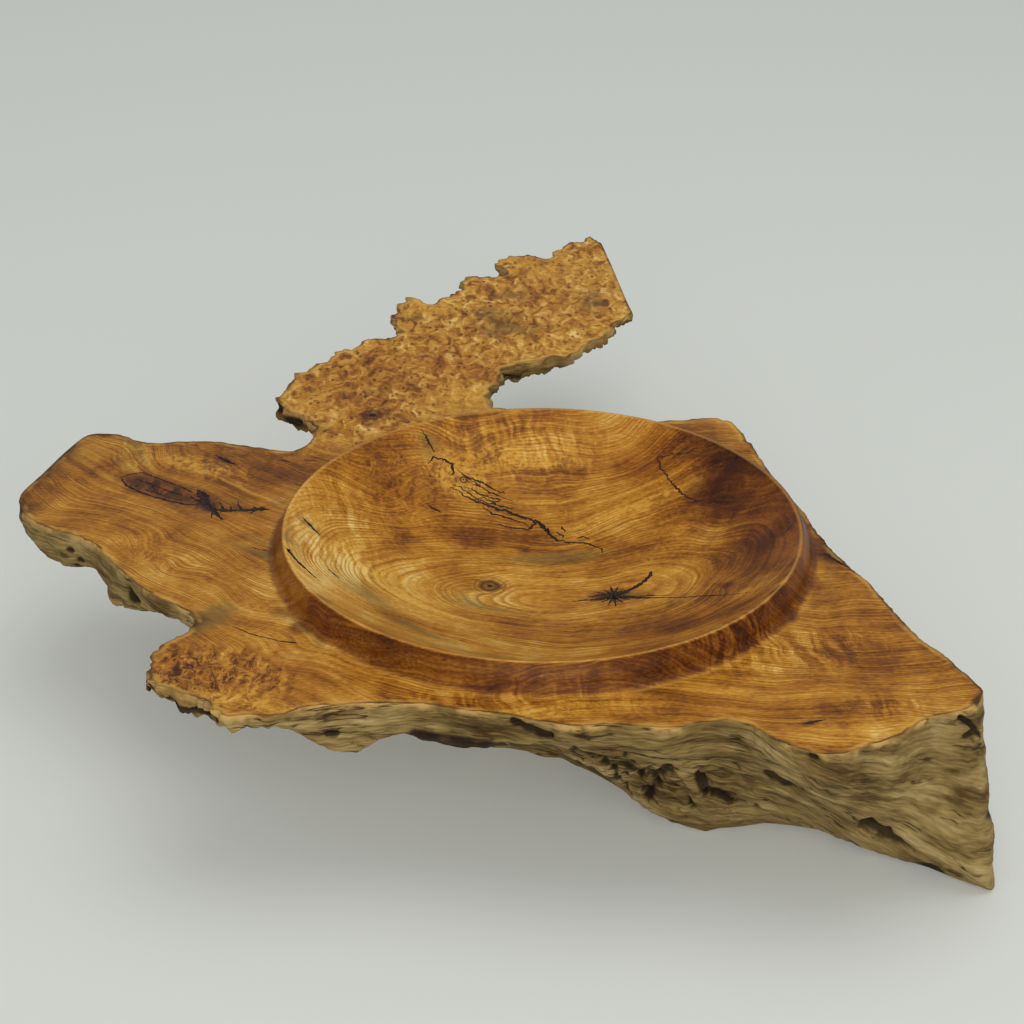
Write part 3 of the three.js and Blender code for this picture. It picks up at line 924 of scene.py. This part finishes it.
# %% A helper for wiring nodes
class Wires:
    """Adds nodes to one tree. An input is a socket to join or a plain value to set."""

    def __init__(self, tree):
        self.tree = tree

    def add(self, kind, inputs=None, **settings):
        node = self.tree.nodes.new("ShaderNode" + kind)
        for name, value in settings.items():
            setattr(node, name, value)
        for name, value in (inputs or {}).items():
            self.put(node.inputs[name], value)
        return node

    def put(self, socket, value):
        if isinstance(value, bpy.types.NodeSocket):
            self.tree.links.new(value, socket)
        else:
            socket.default_value = value

    def math(self, operation, *values):
        node = self.add("Math", dict(enumerate(values)), operation=operation)
        return node.outputs[0]

    def sway(self, value, mask, amount):
        """Adds a mask that swings evenly round a half."""
        return self.math("MULTIPLY_ADD", self.math("SUBTRACT", mask, 0.5), amount, value)

    def choose(self, share, below, above):
        """Goes from one value to another as the share goes from 0 to 1."""
        inputs = {"Factor": share, "A": below, "B": above}
        return self.add("Mix", inputs, data_type="FLOAT").outputs[0]

    def vector(self, x, y, z):
        return self.add("CombineXYZ", {"X": x, "Y": y, "Z": z}).outputs[0]

    def split(self, place):
        return self.add("SeparateXYZ", {"Vector": place}).outputs[:]

    def shift(self, place, by, amount):
        """Moves a place by a noise colour, which swings evenly to both sides."""
        centred = self.add("VectorMath", {0: by, 1: (0.5, 0.5, 0.5)}, operation="SUBTRACT").outputs[0]
        scaled = self.add("VectorMath", {0: centred, "Scale": amount}, operation="SCALE").outputs[0]
        return self.add("VectorMath", {0: place, 1: scaled}, operation="ADD").outputs[0]

    def noise(self, place, size, detail=2.0, twist=0.0, output="Fac"):
        """Cloudy noise whose clouds are about size millimetres across."""
        inputs = {"Vector": place, "Scale": 1 / size, "Detail": detail, "Distortion": twist}
        return self.add("TexNoise", inputs).outputs[output]

    def ease(self, value, low, high, start=0.0, end=1.0):
        """Runs smoothly from start to end as the value goes from low to high."""
        inputs = {"Value": value, "From Min": low, "From Max": high, "To Min": start, "To Max": end}
        return self.add("MapRange", inputs, interpolation_type="SMOOTHSTEP").outputs["Result"]

    def colour(self, value, stops):
        """A colour from a value, by (position, colour) stops."""
        node = self.add("ValToRGB", {"Fac": value})
        ramp = node.color_ramp
        while len(ramp.elements) < len(stops):
            ramp.elements.new(0.5)
        for element, (position, shade) in zip(ramp.elements, stops):
            element.position = position
            element.color = shade
        return node.outputs["Color"]

    def blend(self, share, below, above, kind="MIX"):
        """Lays one colour over another."""
        node = self.add("Mix", {"Factor": share}, data_type="RGBA", blend_type=kind)
        self.put(node.inputs[6], below)
        self.put(node.inputs[7], above)
        return node.outputs[2]

    def bump(self, height, strength, distance, normal=None):
        inputs = {"Height": height, "Strength": strength, "Distance": distance}
        if normal:
            inputs["Normal"] = normal
        return self.add("Bump", inputs).outputs["Normal"]

    def use(self, group, **inputs):
        node = self.add("Group", node_tree=group)
        for name, value in inputs.items():
            self.put(node.inputs[name], value)
        return node.outputs


def new_group(name, inputs, outputs):
    """A node group with named sockets. Returns it with its wires and its two end nodes."""
    group = bpy.data.node_groups.new(name, "ShaderNodeTree")
    for socket, kind in inputs.items():
        group.interface.new_socket(socket, in_out="INPUT", socket_type="NodeSocket" + kind)
    for socket, kind in outputs.items():
        group.interface.new_socket(socket, in_out="OUTPUT", socket_type="NodeSocket" + kind)
    start = group.nodes.new("NodeGroupInput")
    end = group.nodes.new("NodeGroupOutput")
    return group, Wires(group), start.outputs, end.inputs


def shade(red, green, blue):
    """A colour as it looks on a screen, 0 to 255, made linear for the shader."""
    screen = [value / 255 for value in (red, green, blue)]
    linear = [v / 12.92 if v < 0.04045 else ((v + 0.055) / 1.055) ** 2.4 for v in screen]
    return (*linear, 1)


print("wires ready, honey is", [round(c, 3) for c in shade(200, 140, 72)])

# %% [markdown]
# The growth rings come first, because every other mark follows them. In the dish they are long
# nested ovals round a heart near its middle, open to the right. Outside, the saw met them side
# on, so they run along the slab and bend away down the wing. Both are a distance in
# millimetres, and the lip, where one view of the tree ends and the other starts, hides the
# join. A slow warp makes the rings wander. A bud in the tree pushes each ring outwards as it
# grows over it, so at every swirl the distance rises in a soft bump and the rings go round it.
# The lines, the wide bands, the streaks and the fibres are all drawn on that distance.

# %% Growth rings: how far each place is from the heart
RING_HEART = (22, -5, 104)
SWIRLS = [
    # x, y, reach and rise of each place that the rings go round, in millimetres
    (-293, -2, 17, 16), (-270, -29, 17, 14), (-210, -84, 24, 16), (-178, -150, 24, 14),
    (-226, -181, 40, 30), (-285, 130, 30, 20), (-368, 62, 34, 20), (235, -150, 60, 22),
    (150, -195, 40, 12), (-120, 92, 28, 16), (-60, 150, 26, 16), (62, 160, 34, 18),
    (134, 55, 30, 12), (135, -35, 14, 9), (205, 120, 24, 14), (-39, 8, 12, 8),
    (-170, 150, 26, 14), (290, -60, 40, 14),
]


def ring_distance_group():
    group, w, start, end = new_group(
        "ring_distance", {"Place": "Vector"}, {"Distance": "Float", "Place": "Vector"}
    )
    place = start["Place"]
    wander = w.noise(place, 150, detail=1, output="Color")
    ripple = w.noise(place, 42, detail=1, output="Color")
    bent = w.shift(w.shift(place, wander, 46), ripple, 11)
    x, y, z = w.split(bent)
    hx, hy, hz = RING_HEART
    right_of_heart = w.math("SUBTRACT", x, hx)
    left = w.math("MULTIPLY", w.math("MINIMUM", right_of_heart, 0), 0.36)
    fan = w.math("MULTIPLY_ADD", w.math("SMOOTH_MAX", right_of_heart, 0, 120), 1 / 260, 0.95)
    across = w.math("DIVIDE", w.math("SUBTRACT", y, hy), fan)
    up = w.math("MULTIPLY", w.math("SUBTRACT", z, hz), 1.15)
    in_dish = w.add("VectorMath", {0: w.vector(left, across, up)}, operation="LENGTH").outputs["Value"]
    down_wing = w.math("MULTIPLY", w.math("SMOOTH_MIN", w.math("ADD", x, 110), 0, 80), 0.85)
    outside = w.math("ADD", y, w.math("MULTIPLY_ADD", z, 0.5, down_wing))
    sx, sy, _ = w.split(place)
    radius = w.add("VectorMath", {0: w.vector(sx, sy, 0)}, operation="LENGTH").outputs["Value"]
    is_out = w.math("GREATER_THAN", radius, LIP_MIDDLE_R)
    far = w.choose(is_out, in_dish, outside)
    flat = w.vector(sx, sy, 0)
    for cx, cy, reach, rise in SWIRLS:
        away = w.add("VectorMath", {0: flat, 1: (cx, cy, 0)}, operation="DISTANCE").outputs["Value"]
        share = w.math("POWER", w.math("DIVIDE", away, reach), 2)
        far = w.math("MULTIPLY_ADD", w.math("EXPONENT", w.math("MULTIPLY", share, -1)), rise, far)
    w.put(end["Distance"], far)
    w.put(end["Place"], bent)
    return group


RING_DISTANCE = ring_distance_group()
print("group", RING_DISTANCE.name)

# %% Grain lines, tone bands, streaks and fibres
RING_SPACING = 2.8  # millimetres


def grain_group():
    """Thin dark ring lines, wide bands of tone, streaks and fine fibres, each 0 to 1."""
    group, w, start, end = new_group(
        "grain",
        {"Distance": "Float", "Place": "Vector"},
        {"Lines": "Float", "Bands": "Float", "Streaks": "Float", "Fibres": "Float"},
    )
    far = start["Distance"]
    x, y, z = w.split(start["Place"])
    slow = w.noise(w.vector(far, w.math("MULTIPLY", x, 0.04), 0), 14, detail=2)
    count = w.math("MULTIPLY_ADD", slow, 2.6, w.math("DIVIDE", far, RING_SPACING))
    wave = w.math("SINE", w.math("MULTIPLY", count, math.tau))
    line = w.math("POWER", w.math("MULTIPLY_ADD", wave, 0.5, 0.5), 3)
    clear = w.ease(w.noise(start["Place"], 70, detail=2), 0.32, 0.66, 0.15, 1.0)
    w.put(end["Lines"], w.math("MULTIPLY", line, clear))
    band_place = w.vector(far, w.math("MULTIPLY", x, 0.09), w.math("MULTIPLY", y, 0.05))
    w.put(end["Bands"], w.noise(band_place, 19, detail=4))
    streak_place = w.vector(far, w.math("MULTIPLY", x, 0.05), w.math("MULTIPLY", y, 0.03))
    w.put(end["Streaks"], w.noise(streak_place, 5.5, detail=4))
    fibre_place = w.vector(far, w.math("MULTIPLY", x, 0.035), w.math("MULTIPLY", z, 0.05))
    w.put(end["Fibres"], w.noise(fibre_place, 1.7, detail=3))
    return group


GRAIN = grain_group()
print("group", GRAIN.name)

# %% [markdown]
# Burl is wood that tried to grow buds everywhere. Cut across, each bud is a brown eye with a
# dark middle, and the grain between them swirls. Curl is different: the fibres wave up and
# down, so light and dark bars lie across the grain. Both have a group of their own that puts
# out masks, and the painted patches say where each one shows.

# %% Burl eyes, swirls and curl
EYE_SPACING = 5  # millimetres
EYES_LEFT_OUT = 0.52  # share of the buds that the saw missed


def burl_group():
    group, w, start, end = new_group(
        "burl_figure", {"Place": "Vector"}, {"Eyes": "Float", "Swirl": "Float", "Worms": "Float"}
    )
    bx, by, bz = w.split(start["Place"])
    place = w.vector(bx, w.math("MULTIPLY", by, 0.6), bz)
    stirred = w.shift(place, w.noise(place, 16, detail=2, output="Color"), 18)
    jostled = w.shift(place, w.noise(place, 9, output="Color"), 4)
    cell = w.add("TexVoronoi", {"Vector": jostled, "Scale": 1 / EYE_SPACING}, feature="F1").outputs
    chosen = w.math("GREATER_THAN", w.split(cell["Color"])[0], EYES_LEFT_OUT)
    eye = w.ease(cell["Distance"], 0.14, 0.42, 1, 0)
    w.put(end["Eyes"], w.math("MULTIPLY", eye, chosen))
    w.put(end["Swirl"], w.noise(stirred, 8, detail=6, twist=0.7))
    bend = w.noise(stirred, 6.5, detail=2, twist=0.8)
    w.put(end["Worms"], w.ease(w.math("ABSOLUTE", w.math("SUBTRACT", bend, 0.5)), 0.0, 0.06, 1, 0))
    return group


def curl_group():
    group, w, start, end = new_group(
        "curl_figure", {"Place": "Vector"}, {"Bars": "Float", "Flecks": "Float"}
    )
    place = w.shift(start["Place"], w.noise(start["Place"], 26, output="Color"), 20)
    x, y, z = w.split(place)
    leaning = w.math("MULTIPLY_ADD", y, 0.25, x)
    long_place = w.vector(leaning, w.math("MULTIPLY", y, 0.13), w.math("MULTIPLY", z, 0.13))
    w.put(end["Bars"], w.ease(w.noise(long_place, 5.5, detail=3), 0.38, 0.64))
    short_place = w.vector(leaning, w.math("MULTIPLY", y, 0.4), w.math("MULTIPLY", z, 0.4))
    w.put(end["Flecks"], w.ease(w.noise(short_place, 3.4, detail=2), 0.55, 0.72))
    return group


def knot_group():
    group, w, start, end = new_group(
        "round_knot",
        {"Place": "Vector", "Centre": "Vector", "Size": "Float"},
        {"Core": "Float", "Rings": "Float"},
    )
    place = w.shift(start["Place"], w.noise(start["Place"], 7, output="Color"), 2.5)
    away = w.add("VectorMath", {0: place, 1: start["Centre"]}, operation="DISTANCE").outputs["Value"]
    share = w.math("DIVIDE", away, start["Size"])
    bark_ring = w.ease(w.math("ABSOLUTE", w.math("SUBTRACT", share, 0.8)), 0.05, 0.3, 0.9, 0)
    wave = w.math("SINE", w.math("MULTIPLY", share, 2.2 * math.tau))
    faint = w.math("MULTIPLY", w.math("MULTIPLY_ADD", wave, 0.3, 0.3), w.ease(share, 0.8, 2.4, 1, 0))
    w.put(end["Core"], w.ease(share, 0.15, 0.4, 0.95, 0))
    w.put(end["Rings"], w.math("MAXIMUM", bark_ring, faint))
    return group


KNOTS = [
    # x, y, size of round knots on the polished wood, in millimetres
    (-135, 218, 9), (-39, 8, 8), (-311, 97, 6), (-60, 127, 3.5), (135, -35, 4),
    (-44, -152, 3.5), (-12, 58, 2.5),
]
BURL = burl_group()
CURL = curl_group()
KNOT = knot_group()
print("groups", BURL.name, CURL.name, KNOT.name)

# %% [markdown]
# The oiled face puts it all together. The bands choose a tone from dark red-brown through
# honey to pale gold, the lines and fibres darken it, and the figure is laid over where it
# belongs. The edge of each painted patch is broken by noise, so no oval can be seen. The oil
# has soaked in and been rubbed, so the gloss is soft and a little uneven.

# %% The oiled face
TONES = [
    (0.0, shade(68, 30, 3)), (0.27, shade(126, 71, 10)), (0.5, shade(174, 113, 26)),
    (0.74, shade(204, 149, 54)), (1.0, shade(236, 198, 116)),
]
BARK_TONES = [(0.3, shade(16, 7, 3)), (0.5, shade(66, 30, 10)), (0.68, shade(128, 68, 24))]
RUDDY_TONES = [(0.1, shade(60, 22, 2)), (0.5, shade(134, 70, 4)), (0.95, shade(188, 116, 22))]
# The collar's wall: darker end grain and painted shade.
WALL_GRAIN_AND_SHADE_TONES = [(0.15, shade(46, 16, 1)), (0.5, shade(94, 42, 2)), (0.9, shade(150, 88, 10))]
# Deep brown wood, and painted shade on the dish's right wall.
DEEP_BROWN_AND_SHADE_TONES = [(0.1, shade(34, 10, 1)), (0.5, shade(84, 36, 2)), (0.95, shade(140, 78, 12))]
MIDDLE_TONE = 0.54


def painted(w, name):
    return w.add("Attribute", attribute_name=name, attribute_type="GEOMETRY").outputs["Fac"]


def place_in_mm(w):
    place = w.add("TexCoord").outputs["Object"]
    return w.add("VectorMath", {0: place, "Scale": 1 / MM}, operation="SCALE").outputs[0]


def ragged(w, mask, breakup):
    """Breaks up the soft border of a painted patch."""
    pushed = w.sway(mask, breakup, 0.9)
    return w.math("MULTIPLY", w.ease(pushed, 0.12, 0.75), w.math("GREATER_THAN", mask, 0.01))


def finish_polished(material):
    w = Wires(material.node_tree)
    shader = material.node_tree.nodes["Principled BSDF"]
    place = place_in_mm(w)
    x, y, z = w.split(place)
    rings = w.use(RING_DISTANCE, Place=place)
    grain = w.use(GRAIN, Distance=rings["Distance"], Place=rings["Place"])
    burl_marks = w.use(BURL, Place=place)
    curl = w.use(CURL, Place=place)
    breakup = w.noise(rings["Place"], 16, detail=4)
    clouds = w.noise(rings["Place"], 95, detail=3)
    streaky = w.sway(grain["Streaks"], grain["Bands"], 1.4)
    burled = ragged(w, painted(w, "burled"), breakup)
    streaky = w.choose(burled, streaky, breakup)
    curled = ragged(w, painted(w, "curled"), breakup)

    # The tone of plain wood, then that of burl, each from several masks laid on one another.
    blotches = w.noise(rings["Place"], 34, detail=5)
    grit = w.noise(w.vector(w.math("MULTIPLY", x, 0.3), y, z), 1.5, detail=2)
    # The tint holds lighter wood and a painted gleam on the far wall of the dish.
    tint_and_gleam = w.math("MULTIPLY_ADD", painted(w, "tint_and_gleam"), 0.28, MIDDLE_TONE)
    tone = w.sway(tint_and_gleam, grain["Bands"], 0.42)
    tone = w.sway(tone, grain["Streaks"], 0.5)
    tone = w.sway(tone, clouds, 0.75)
    tone = w.sway(tone, blotches, 0.9)
    tone = w.sway(tone, grain["Fibres"], 0.7)
    tone = w.sway(tone, grit, 0.6)
    bars = w.math("MULTIPLY", w.math("SUBTRACT", curl["Bars"], 0.42), curled)
    tone = w.math("MULTIPLY_ADD", bars, 0.34, tone)
    tone = w.math("MULTIPLY_ADD", w.math("MULTIPLY", curl["Flecks"], curled), 0.16, tone)
    swirled = w.sway(w.math("ADD", tint_and_gleam, 0.05), burl_marks["Swirl"], 1.9)
    swirled = w.sway(swirled, blotches, 0.4)
    swirled = w.sway(swirled, clouds, 0.3)
    swirled = w.sway(swirled, grit, 0.6)
    tone = w.choose(burled, tone, swirled)
    colour = w.colour(tone, TONES)

    # The figure, the stains and some painted shade are laid over it where they belong.
    plain = w.math("SUBTRACT", 1, w.math("MULTIPLY", burled, 0.85))
    lines = w.math("MULTIPLY", w.math("MULTIPLY", grain["Lines"], plain), 0.62)
    colour = w.blend(lines, colour, shade(104, 54, 10))
    ruddy = w.math("MULTIPLY", ragged(w, painted(w, "ruddy"), breakup), 0.6)
    colour = w.blend(ruddy, colour, w.colour(tone, RUDDY_TONES))
    # Deep brown wood, and painted shade on the dish's right wall, which faces away from the light.
    deep_brown_and_shade = w.math("MULTIPLY", ragged(w, painted(w, "deep_brown_and_shade"), breakup), 0.9)
    colour = w.blend(deep_brown_and_shade, colour, w.colour(tone, DEEP_BROWN_AND_SHADE_TONES))
    wormy = ragged(w, painted(w, "wormy"), breakup)
    worms = w.math("MULTIPLY", w.math("MULTIPLY", burl_marks["Worms"], wormy), 0.45)
    colour = w.blend(worms, colour, shade(222, 160, 66))
    eyes = w.math("MULTIPLY", w.math("MULTIPLY", burl_marks["Eyes"], burled), 0.8)
    colour = w.blend(eyes, colour, shade(84, 38, 10))
    crinkle = w.ease(w.noise(rings["Place"], 6, detail=5, twist=1.2), 0.42, 0.6, 0.08, 0.62)
    gold = w.math("MULTIPLY", ragged(w, painted(w, "gold"), streaky), crinkle)
    colour = w.blend(gold, colour, shade(222, 168, 62))
    grey = w.math("MULTIPLY", ragged(w, painted(w, "grey"), streaky), 0.6)
    colour = w.blend(grey, colour, shade(92, 80, 40))
    dark = w.math("MULTIPLY", ragged(w, painted(w, "dark"), breakup), 0.85)
    colour = w.blend(dark, colour, shade(58, 22, 6))

    # Last come the marks that have a place of their own: edge, painted foot highlight, bark, knots,
    # wall (darker grain and painted shade) and painted lip highlight.
    from_edge = w.sway(painted(w, "from_edge"), breakup, 5)
    patchy = w.ease(w.noise(place, 30, detail=3), 0.4, 0.62)
    # A painted highlight: the bright line at the foot of the cove.
    painted_foot_highlight = w.math("MULTIPLY", painted(w, "painted_foot_highlight"), w.ease(breakup, 0.35, 0.65, 0.06, 0.36))
    colour = w.blend(painted_foot_highlight, colour, shade(212, 160, 78))
    rim = w.math("MULTIPLY", w.ease(from_edge, 3.0, 6.0, 0.5, 0), patchy)
    colour = w.blend(rim, colour, shade(216, 168, 80))
    charred = w.math("MULTIPLY", w.ease(from_edge, 0.4, 2.8, 1, 0), w.ease(patchy, 0, 1, 0.85, 0.4))
    colour = w.blend(charred, colour, shade(70, 40, 12))
    bark = w.math("MULTIPLY", painted(w, "bark"), w.ease(breakup, 0.3, 0.65, 1.0, 0.8))
    colour = w.blend(bark, colour, w.colour(burl_marks["Swirl"], BARK_TONES))
    for kx, ky, size in KNOTS:
        centre = (kx, ky, surface_height(kx, ky) / MM)
        knot = w.use(KNOT, Place=place, Centre=centre, Size=size)
        colour = w.blend(knot["Rings"], colour, shade(80, 36, 10))
        colour = w.blend(knot["Core"], colour, shade(40, 20, 8))
    # The collar's wall: darker end grain and painted shade.
    wall = w.math("MULTIPLY", painted(w, "wall"), w.ease(breakup, 0.25, 0.7, 0.95, 0.8))
    colour = w.blend(wall, colour, w.colour(tone, WALL_GRAIN_AND_SHADE_TONES))
    # A painted highlight along the lip, blended pale.
    colour = w.blend(w.math("MULTIPLY", painted(w, "painted_lip_highlight"), 0.3), colour, shade(222, 166, 84))
    w.put(shader.inputs["Base Color"], colour)

    rough = w.math("MULTIPLY_ADD", grain["Fibres"], 0.14, 0.33)
    w.put(shader.inputs["Roughness"], w.math("MULTIPLY_ADD", w.noise(place, 24, detail=3), 0.08, rough))
    height = w.math("MULTIPLY_ADD", grain["Fibres"], 0.5, w.math("MULTIPLY", grain["Lines"], -0.5))
    w.put(shader.inputs["Normal"], w.bump(height, 0.25, 0.12 * MM))
    shader.inputs["Coat Weight"].default_value = 0.02
    shader.inputs["Coat Roughness"].default_value = 0.25
    shader.inputs["Specular IOR Level"].default_value = 0.14


finish_polished(POLISHED)
print(POLISHED.name, len(POLISHED.node_tree.nodes), "nodes")

# %% [markdown]
# The natural side is bare wood that lay under the bark. It has weathered to an olive grey, it
# is streaked level with the grain, and every hollow and crack is darkened near black. Close under the
# sawn face a little of the warm wood still shows. It is rough, so it hardly shines at all.

# %% The natural side and the cracks
SIDE_FAN = 60  # the grain lines of the tall right side fan out from this height, in millimetres
SIDE_SLANT = 0.22  # and slope down to the right by this much
WEATHERED = [
    (0.0, shade(34, 22, 8)), (0.3, shade(90, 69, 34)), (0.55, shade(134, 110, 64)),
    (0.8, shade(166, 142, 92)), (1.0, shade(190, 168, 122)),
]


def finish_natural(material):
    w = Wires(material.node_tree)
    shader = material.node_tree.nodes["Principled BSDF"]
    place = place_in_mm(w)
    x, y, z = w.split(place)
    bent = w.shift(place, w.noise(place, 80, detail=3, output="Color"), 20)
    bx, by, bz = w.split(bent)
    under = w.ease(x, 130, 290, SIDE_FAN, 0)
    tall = w.math("DIVIDE", w.math("SUBTRACT", bz, under), w.math("SUBTRACT", SAWN_Z / MM, under))
    slant = w.math("MULTIPLY", w.math("MAXIMUM", w.math("SUBTRACT", bx, 110), 0), SIDE_SLANT)
    fanned = w.math("MULTIPLY_ADD", tall, SIDE_FAN + 40, slant)
    level = w.vector(w.math("MULTIPLY", bx, 0.13), w.math("MULTIPLY", by, 0.13), fanned)
    streaks = w.noise(level, 8, detail=7)
    threads = w.noise(level, 1.6, detail=4)
    seam = w.noise(level, 11, detail=4)
    split = w.ease(w.math("ABSOLUTE", w.math("SUBTRACT", seam, 0.52)), 0.0, 0.028, 1, 0)
    split = w.math("MULTIPLY", split, w.ease(w.noise(place, 32, detail=3), 0.47, 0.58))
    clouds = w.noise(place, 55, detail=3)
    tone = w.sway(0.5, streaks, 1.3)
    tone = w.sway(tone, threads, 0.8)
    tone = w.sway(tone, clouds, 0.9)
    colour = w.colour(tone, WEATHERED)
    burled = painted(w, "burled")
    burl_marks = w.use(BURL, Place=place)
    warm = w.math("MULTIPLY", w.math("MULTIPLY", burl_marks["Swirl"], burled), 0.7)
    colour = w.blend(warm, colour, shade(140, 98, 44))
    breakup = w.noise(place, 9, detail=3)
    from_edge = w.sway(painted(w, "from_edge"), breakup, 9)
    chunky = w.ease(w.noise(place, 22, detail=3), 0.42, 0.6, 0.2, 0.9)
    pale_rim = w.math("MULTIPLY", w.ease(from_edge, 1.0, 7, 1, 0), chunky)
    colour = w.blend(pale_rim, colour, shade(200, 160, 94))
    hollow = w.ease(w.sway(painted(w, "hollow"), breakup, 0.5), 0.25, 0.8)
    # Every hollow, crack and roll is darkened near black.
    colour = w.blend(w.math("MULTIPLY", hollow, 0.88), colour, shade(26, 15, 7))
    colour = w.blend(w.math("MULTIPLY", split, 0.85), colour, shade(34, 20, 10))
    w.put(shader.inputs["Base Color"], colour)
    w.put(shader.inputs["Roughness"], w.math("MULTIPLY_ADD", streaks, 0.2, 0.68))
    height = w.math("ADD", w.math("MULTIPLY", streaks, 1.2), w.math("MULTIPLY", threads, 0.4))
    height = w.math("MULTIPLY_ADD", breakup, 0.6, height)
    height = w.math("SUBTRACT", height, split)
    w.put(shader.inputs["Normal"], w.bump(height, 0.8, 1.0 * MM))
    shader.inputs["Specular IOR Level"].default_value = 0.15


CRACK_TONES = [(0.3, shade(16, 9, 6)), (0.75, shade(66, 34, 18))]


def finish_crack(material):
    w = Wires(material.node_tree)
    shader = material.node_tree.nodes["Principled BSDF"]
    place = place_in_mm(w)
    crumbs = w.noise(place, 2.2, detail=3)
    w.put(shader.inputs["Base Color"], w.colour(crumbs, CRACK_TONES))
    w.put(shader.inputs["Roughness"], w.ease(crumbs, 0.2, 0.8, 0.55, 0.85))
    w.put(shader.inputs["Normal"], w.bump(crumbs, 0.6, 0.4 * MM))


finish_natural(NATURAL)
finish_crack(CRACK)
print(NATURAL.name, len(NATURAL.node_tree.nodes), "nodes")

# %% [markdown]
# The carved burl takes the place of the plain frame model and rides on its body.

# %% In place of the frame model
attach(burl, "root")
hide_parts("maple_burl")
print("burl rides on root")

# %% [markdown]
# A pale floor that runs out of sight needs no backdrop. It glows a little, as a lit sheet of
# white acrylic does, which keeps the shadow under the wing soft. One broad soft light hangs
# overhead and a little behind the dish, so that its far wall shines softly and the shadow is
# an even halo. A wide light in front keeps the natural sides from going black.

# %% Floor and lights
FLOOR_SIZE = 24
FLOOR_GLOW = 0.14


def new_floor():
    bpy.ops.object.select_all(action="DESELECT")
    bpy.ops.mesh.primitive_plane_add(size=FLOOR_SIZE, location=(0, 0, 0))
    floor = bpy.context.object
    floor.name = "floor"
    material = new_material("pale_floor")
    shader = material.node_tree.nodes["Principled BSDF"]
    shader.inputs["Base Color"].default_value = shade(198, 200, 194)
    shader.inputs["Emission Color"].default_value = shade(252, 255, 248)
    shader.inputs["Emission Strength"].default_value = FLOOR_GLOW
    shader.inputs["Roughness"].default_value = 0.9
    shader.inputs["Specular IOR Level"].default_value = 0.1
    floor.data.materials.append(material)
    return floor


def soft_light(name, place, aim, size, watts):
    lamp = bpy.data.lights.new(name, "AREA")
    lamp.shape = "DISK"
    lamp.size = size
    lamp.energy = watts
    light = bpy.data.objects.new(name, lamp)
    light.location = place
    light.rotation_euler = (Vector(aim) - Vector(place)).to_track_quat("-Z", "Y").to_euler()
    bpy.context.scene.collection.objects.link(light)


def studio_air(colour, strength):
    """Even light from all round."""
    world = bpy.data.worlds.new("studio")
    world.use_nodes = True
    background = world.node_tree.nodes["Background"]
    background.inputs["Color"].default_value = colour
    background.inputs["Strength"].default_value = strength
    bpy.context.scene.world = world


DISH_AIM = (0, 0, 0.1)
new_floor()
soft_light("overhead", (0.25, 0.08, 2.3), DISH_AIM, size=2.0, watts=14)
soft_light("front_fill", (0.3, -2.8, 1.3), DISH_AIM, size=2.8, watts=42)
studio_air((0.89, 0.92, 0.92, 1), 0.56)
bpy.context.scene.view_settings.view_transform = "Standard"

# %% [markdown]
# The camera stands in front of the long front edge and looks down on the sawn face, from far
# enough away that the near side doesn't look swollen.

# %% Camera
CAMERA_PLACE = (-0.0224, -1.8273, 1.1896)
CAMERA_TILT = 61.1  # degrees up from straight down
camera = bpy.data.objects.new("camera", bpy.data.cameras.new("camera"))
camera.data.lens = 100
camera.data.sensor_width = 36
camera.location = CAMERA_PLACE
camera.rotation_euler = (math.radians(CAMERA_TILT), 0, 0)
bpy.context.scene.collection.objects.link(camera)
bpy.context.scene.camera = camera
print("camera looks down", round(90 - CAMERA_TILT, 1), "degrees")

# %% Size and finish
bpy.context.view_layer.update()
print("frame", [round(a, 4) for a in (*FRAME_LOW, *FRAME_HIGH)])
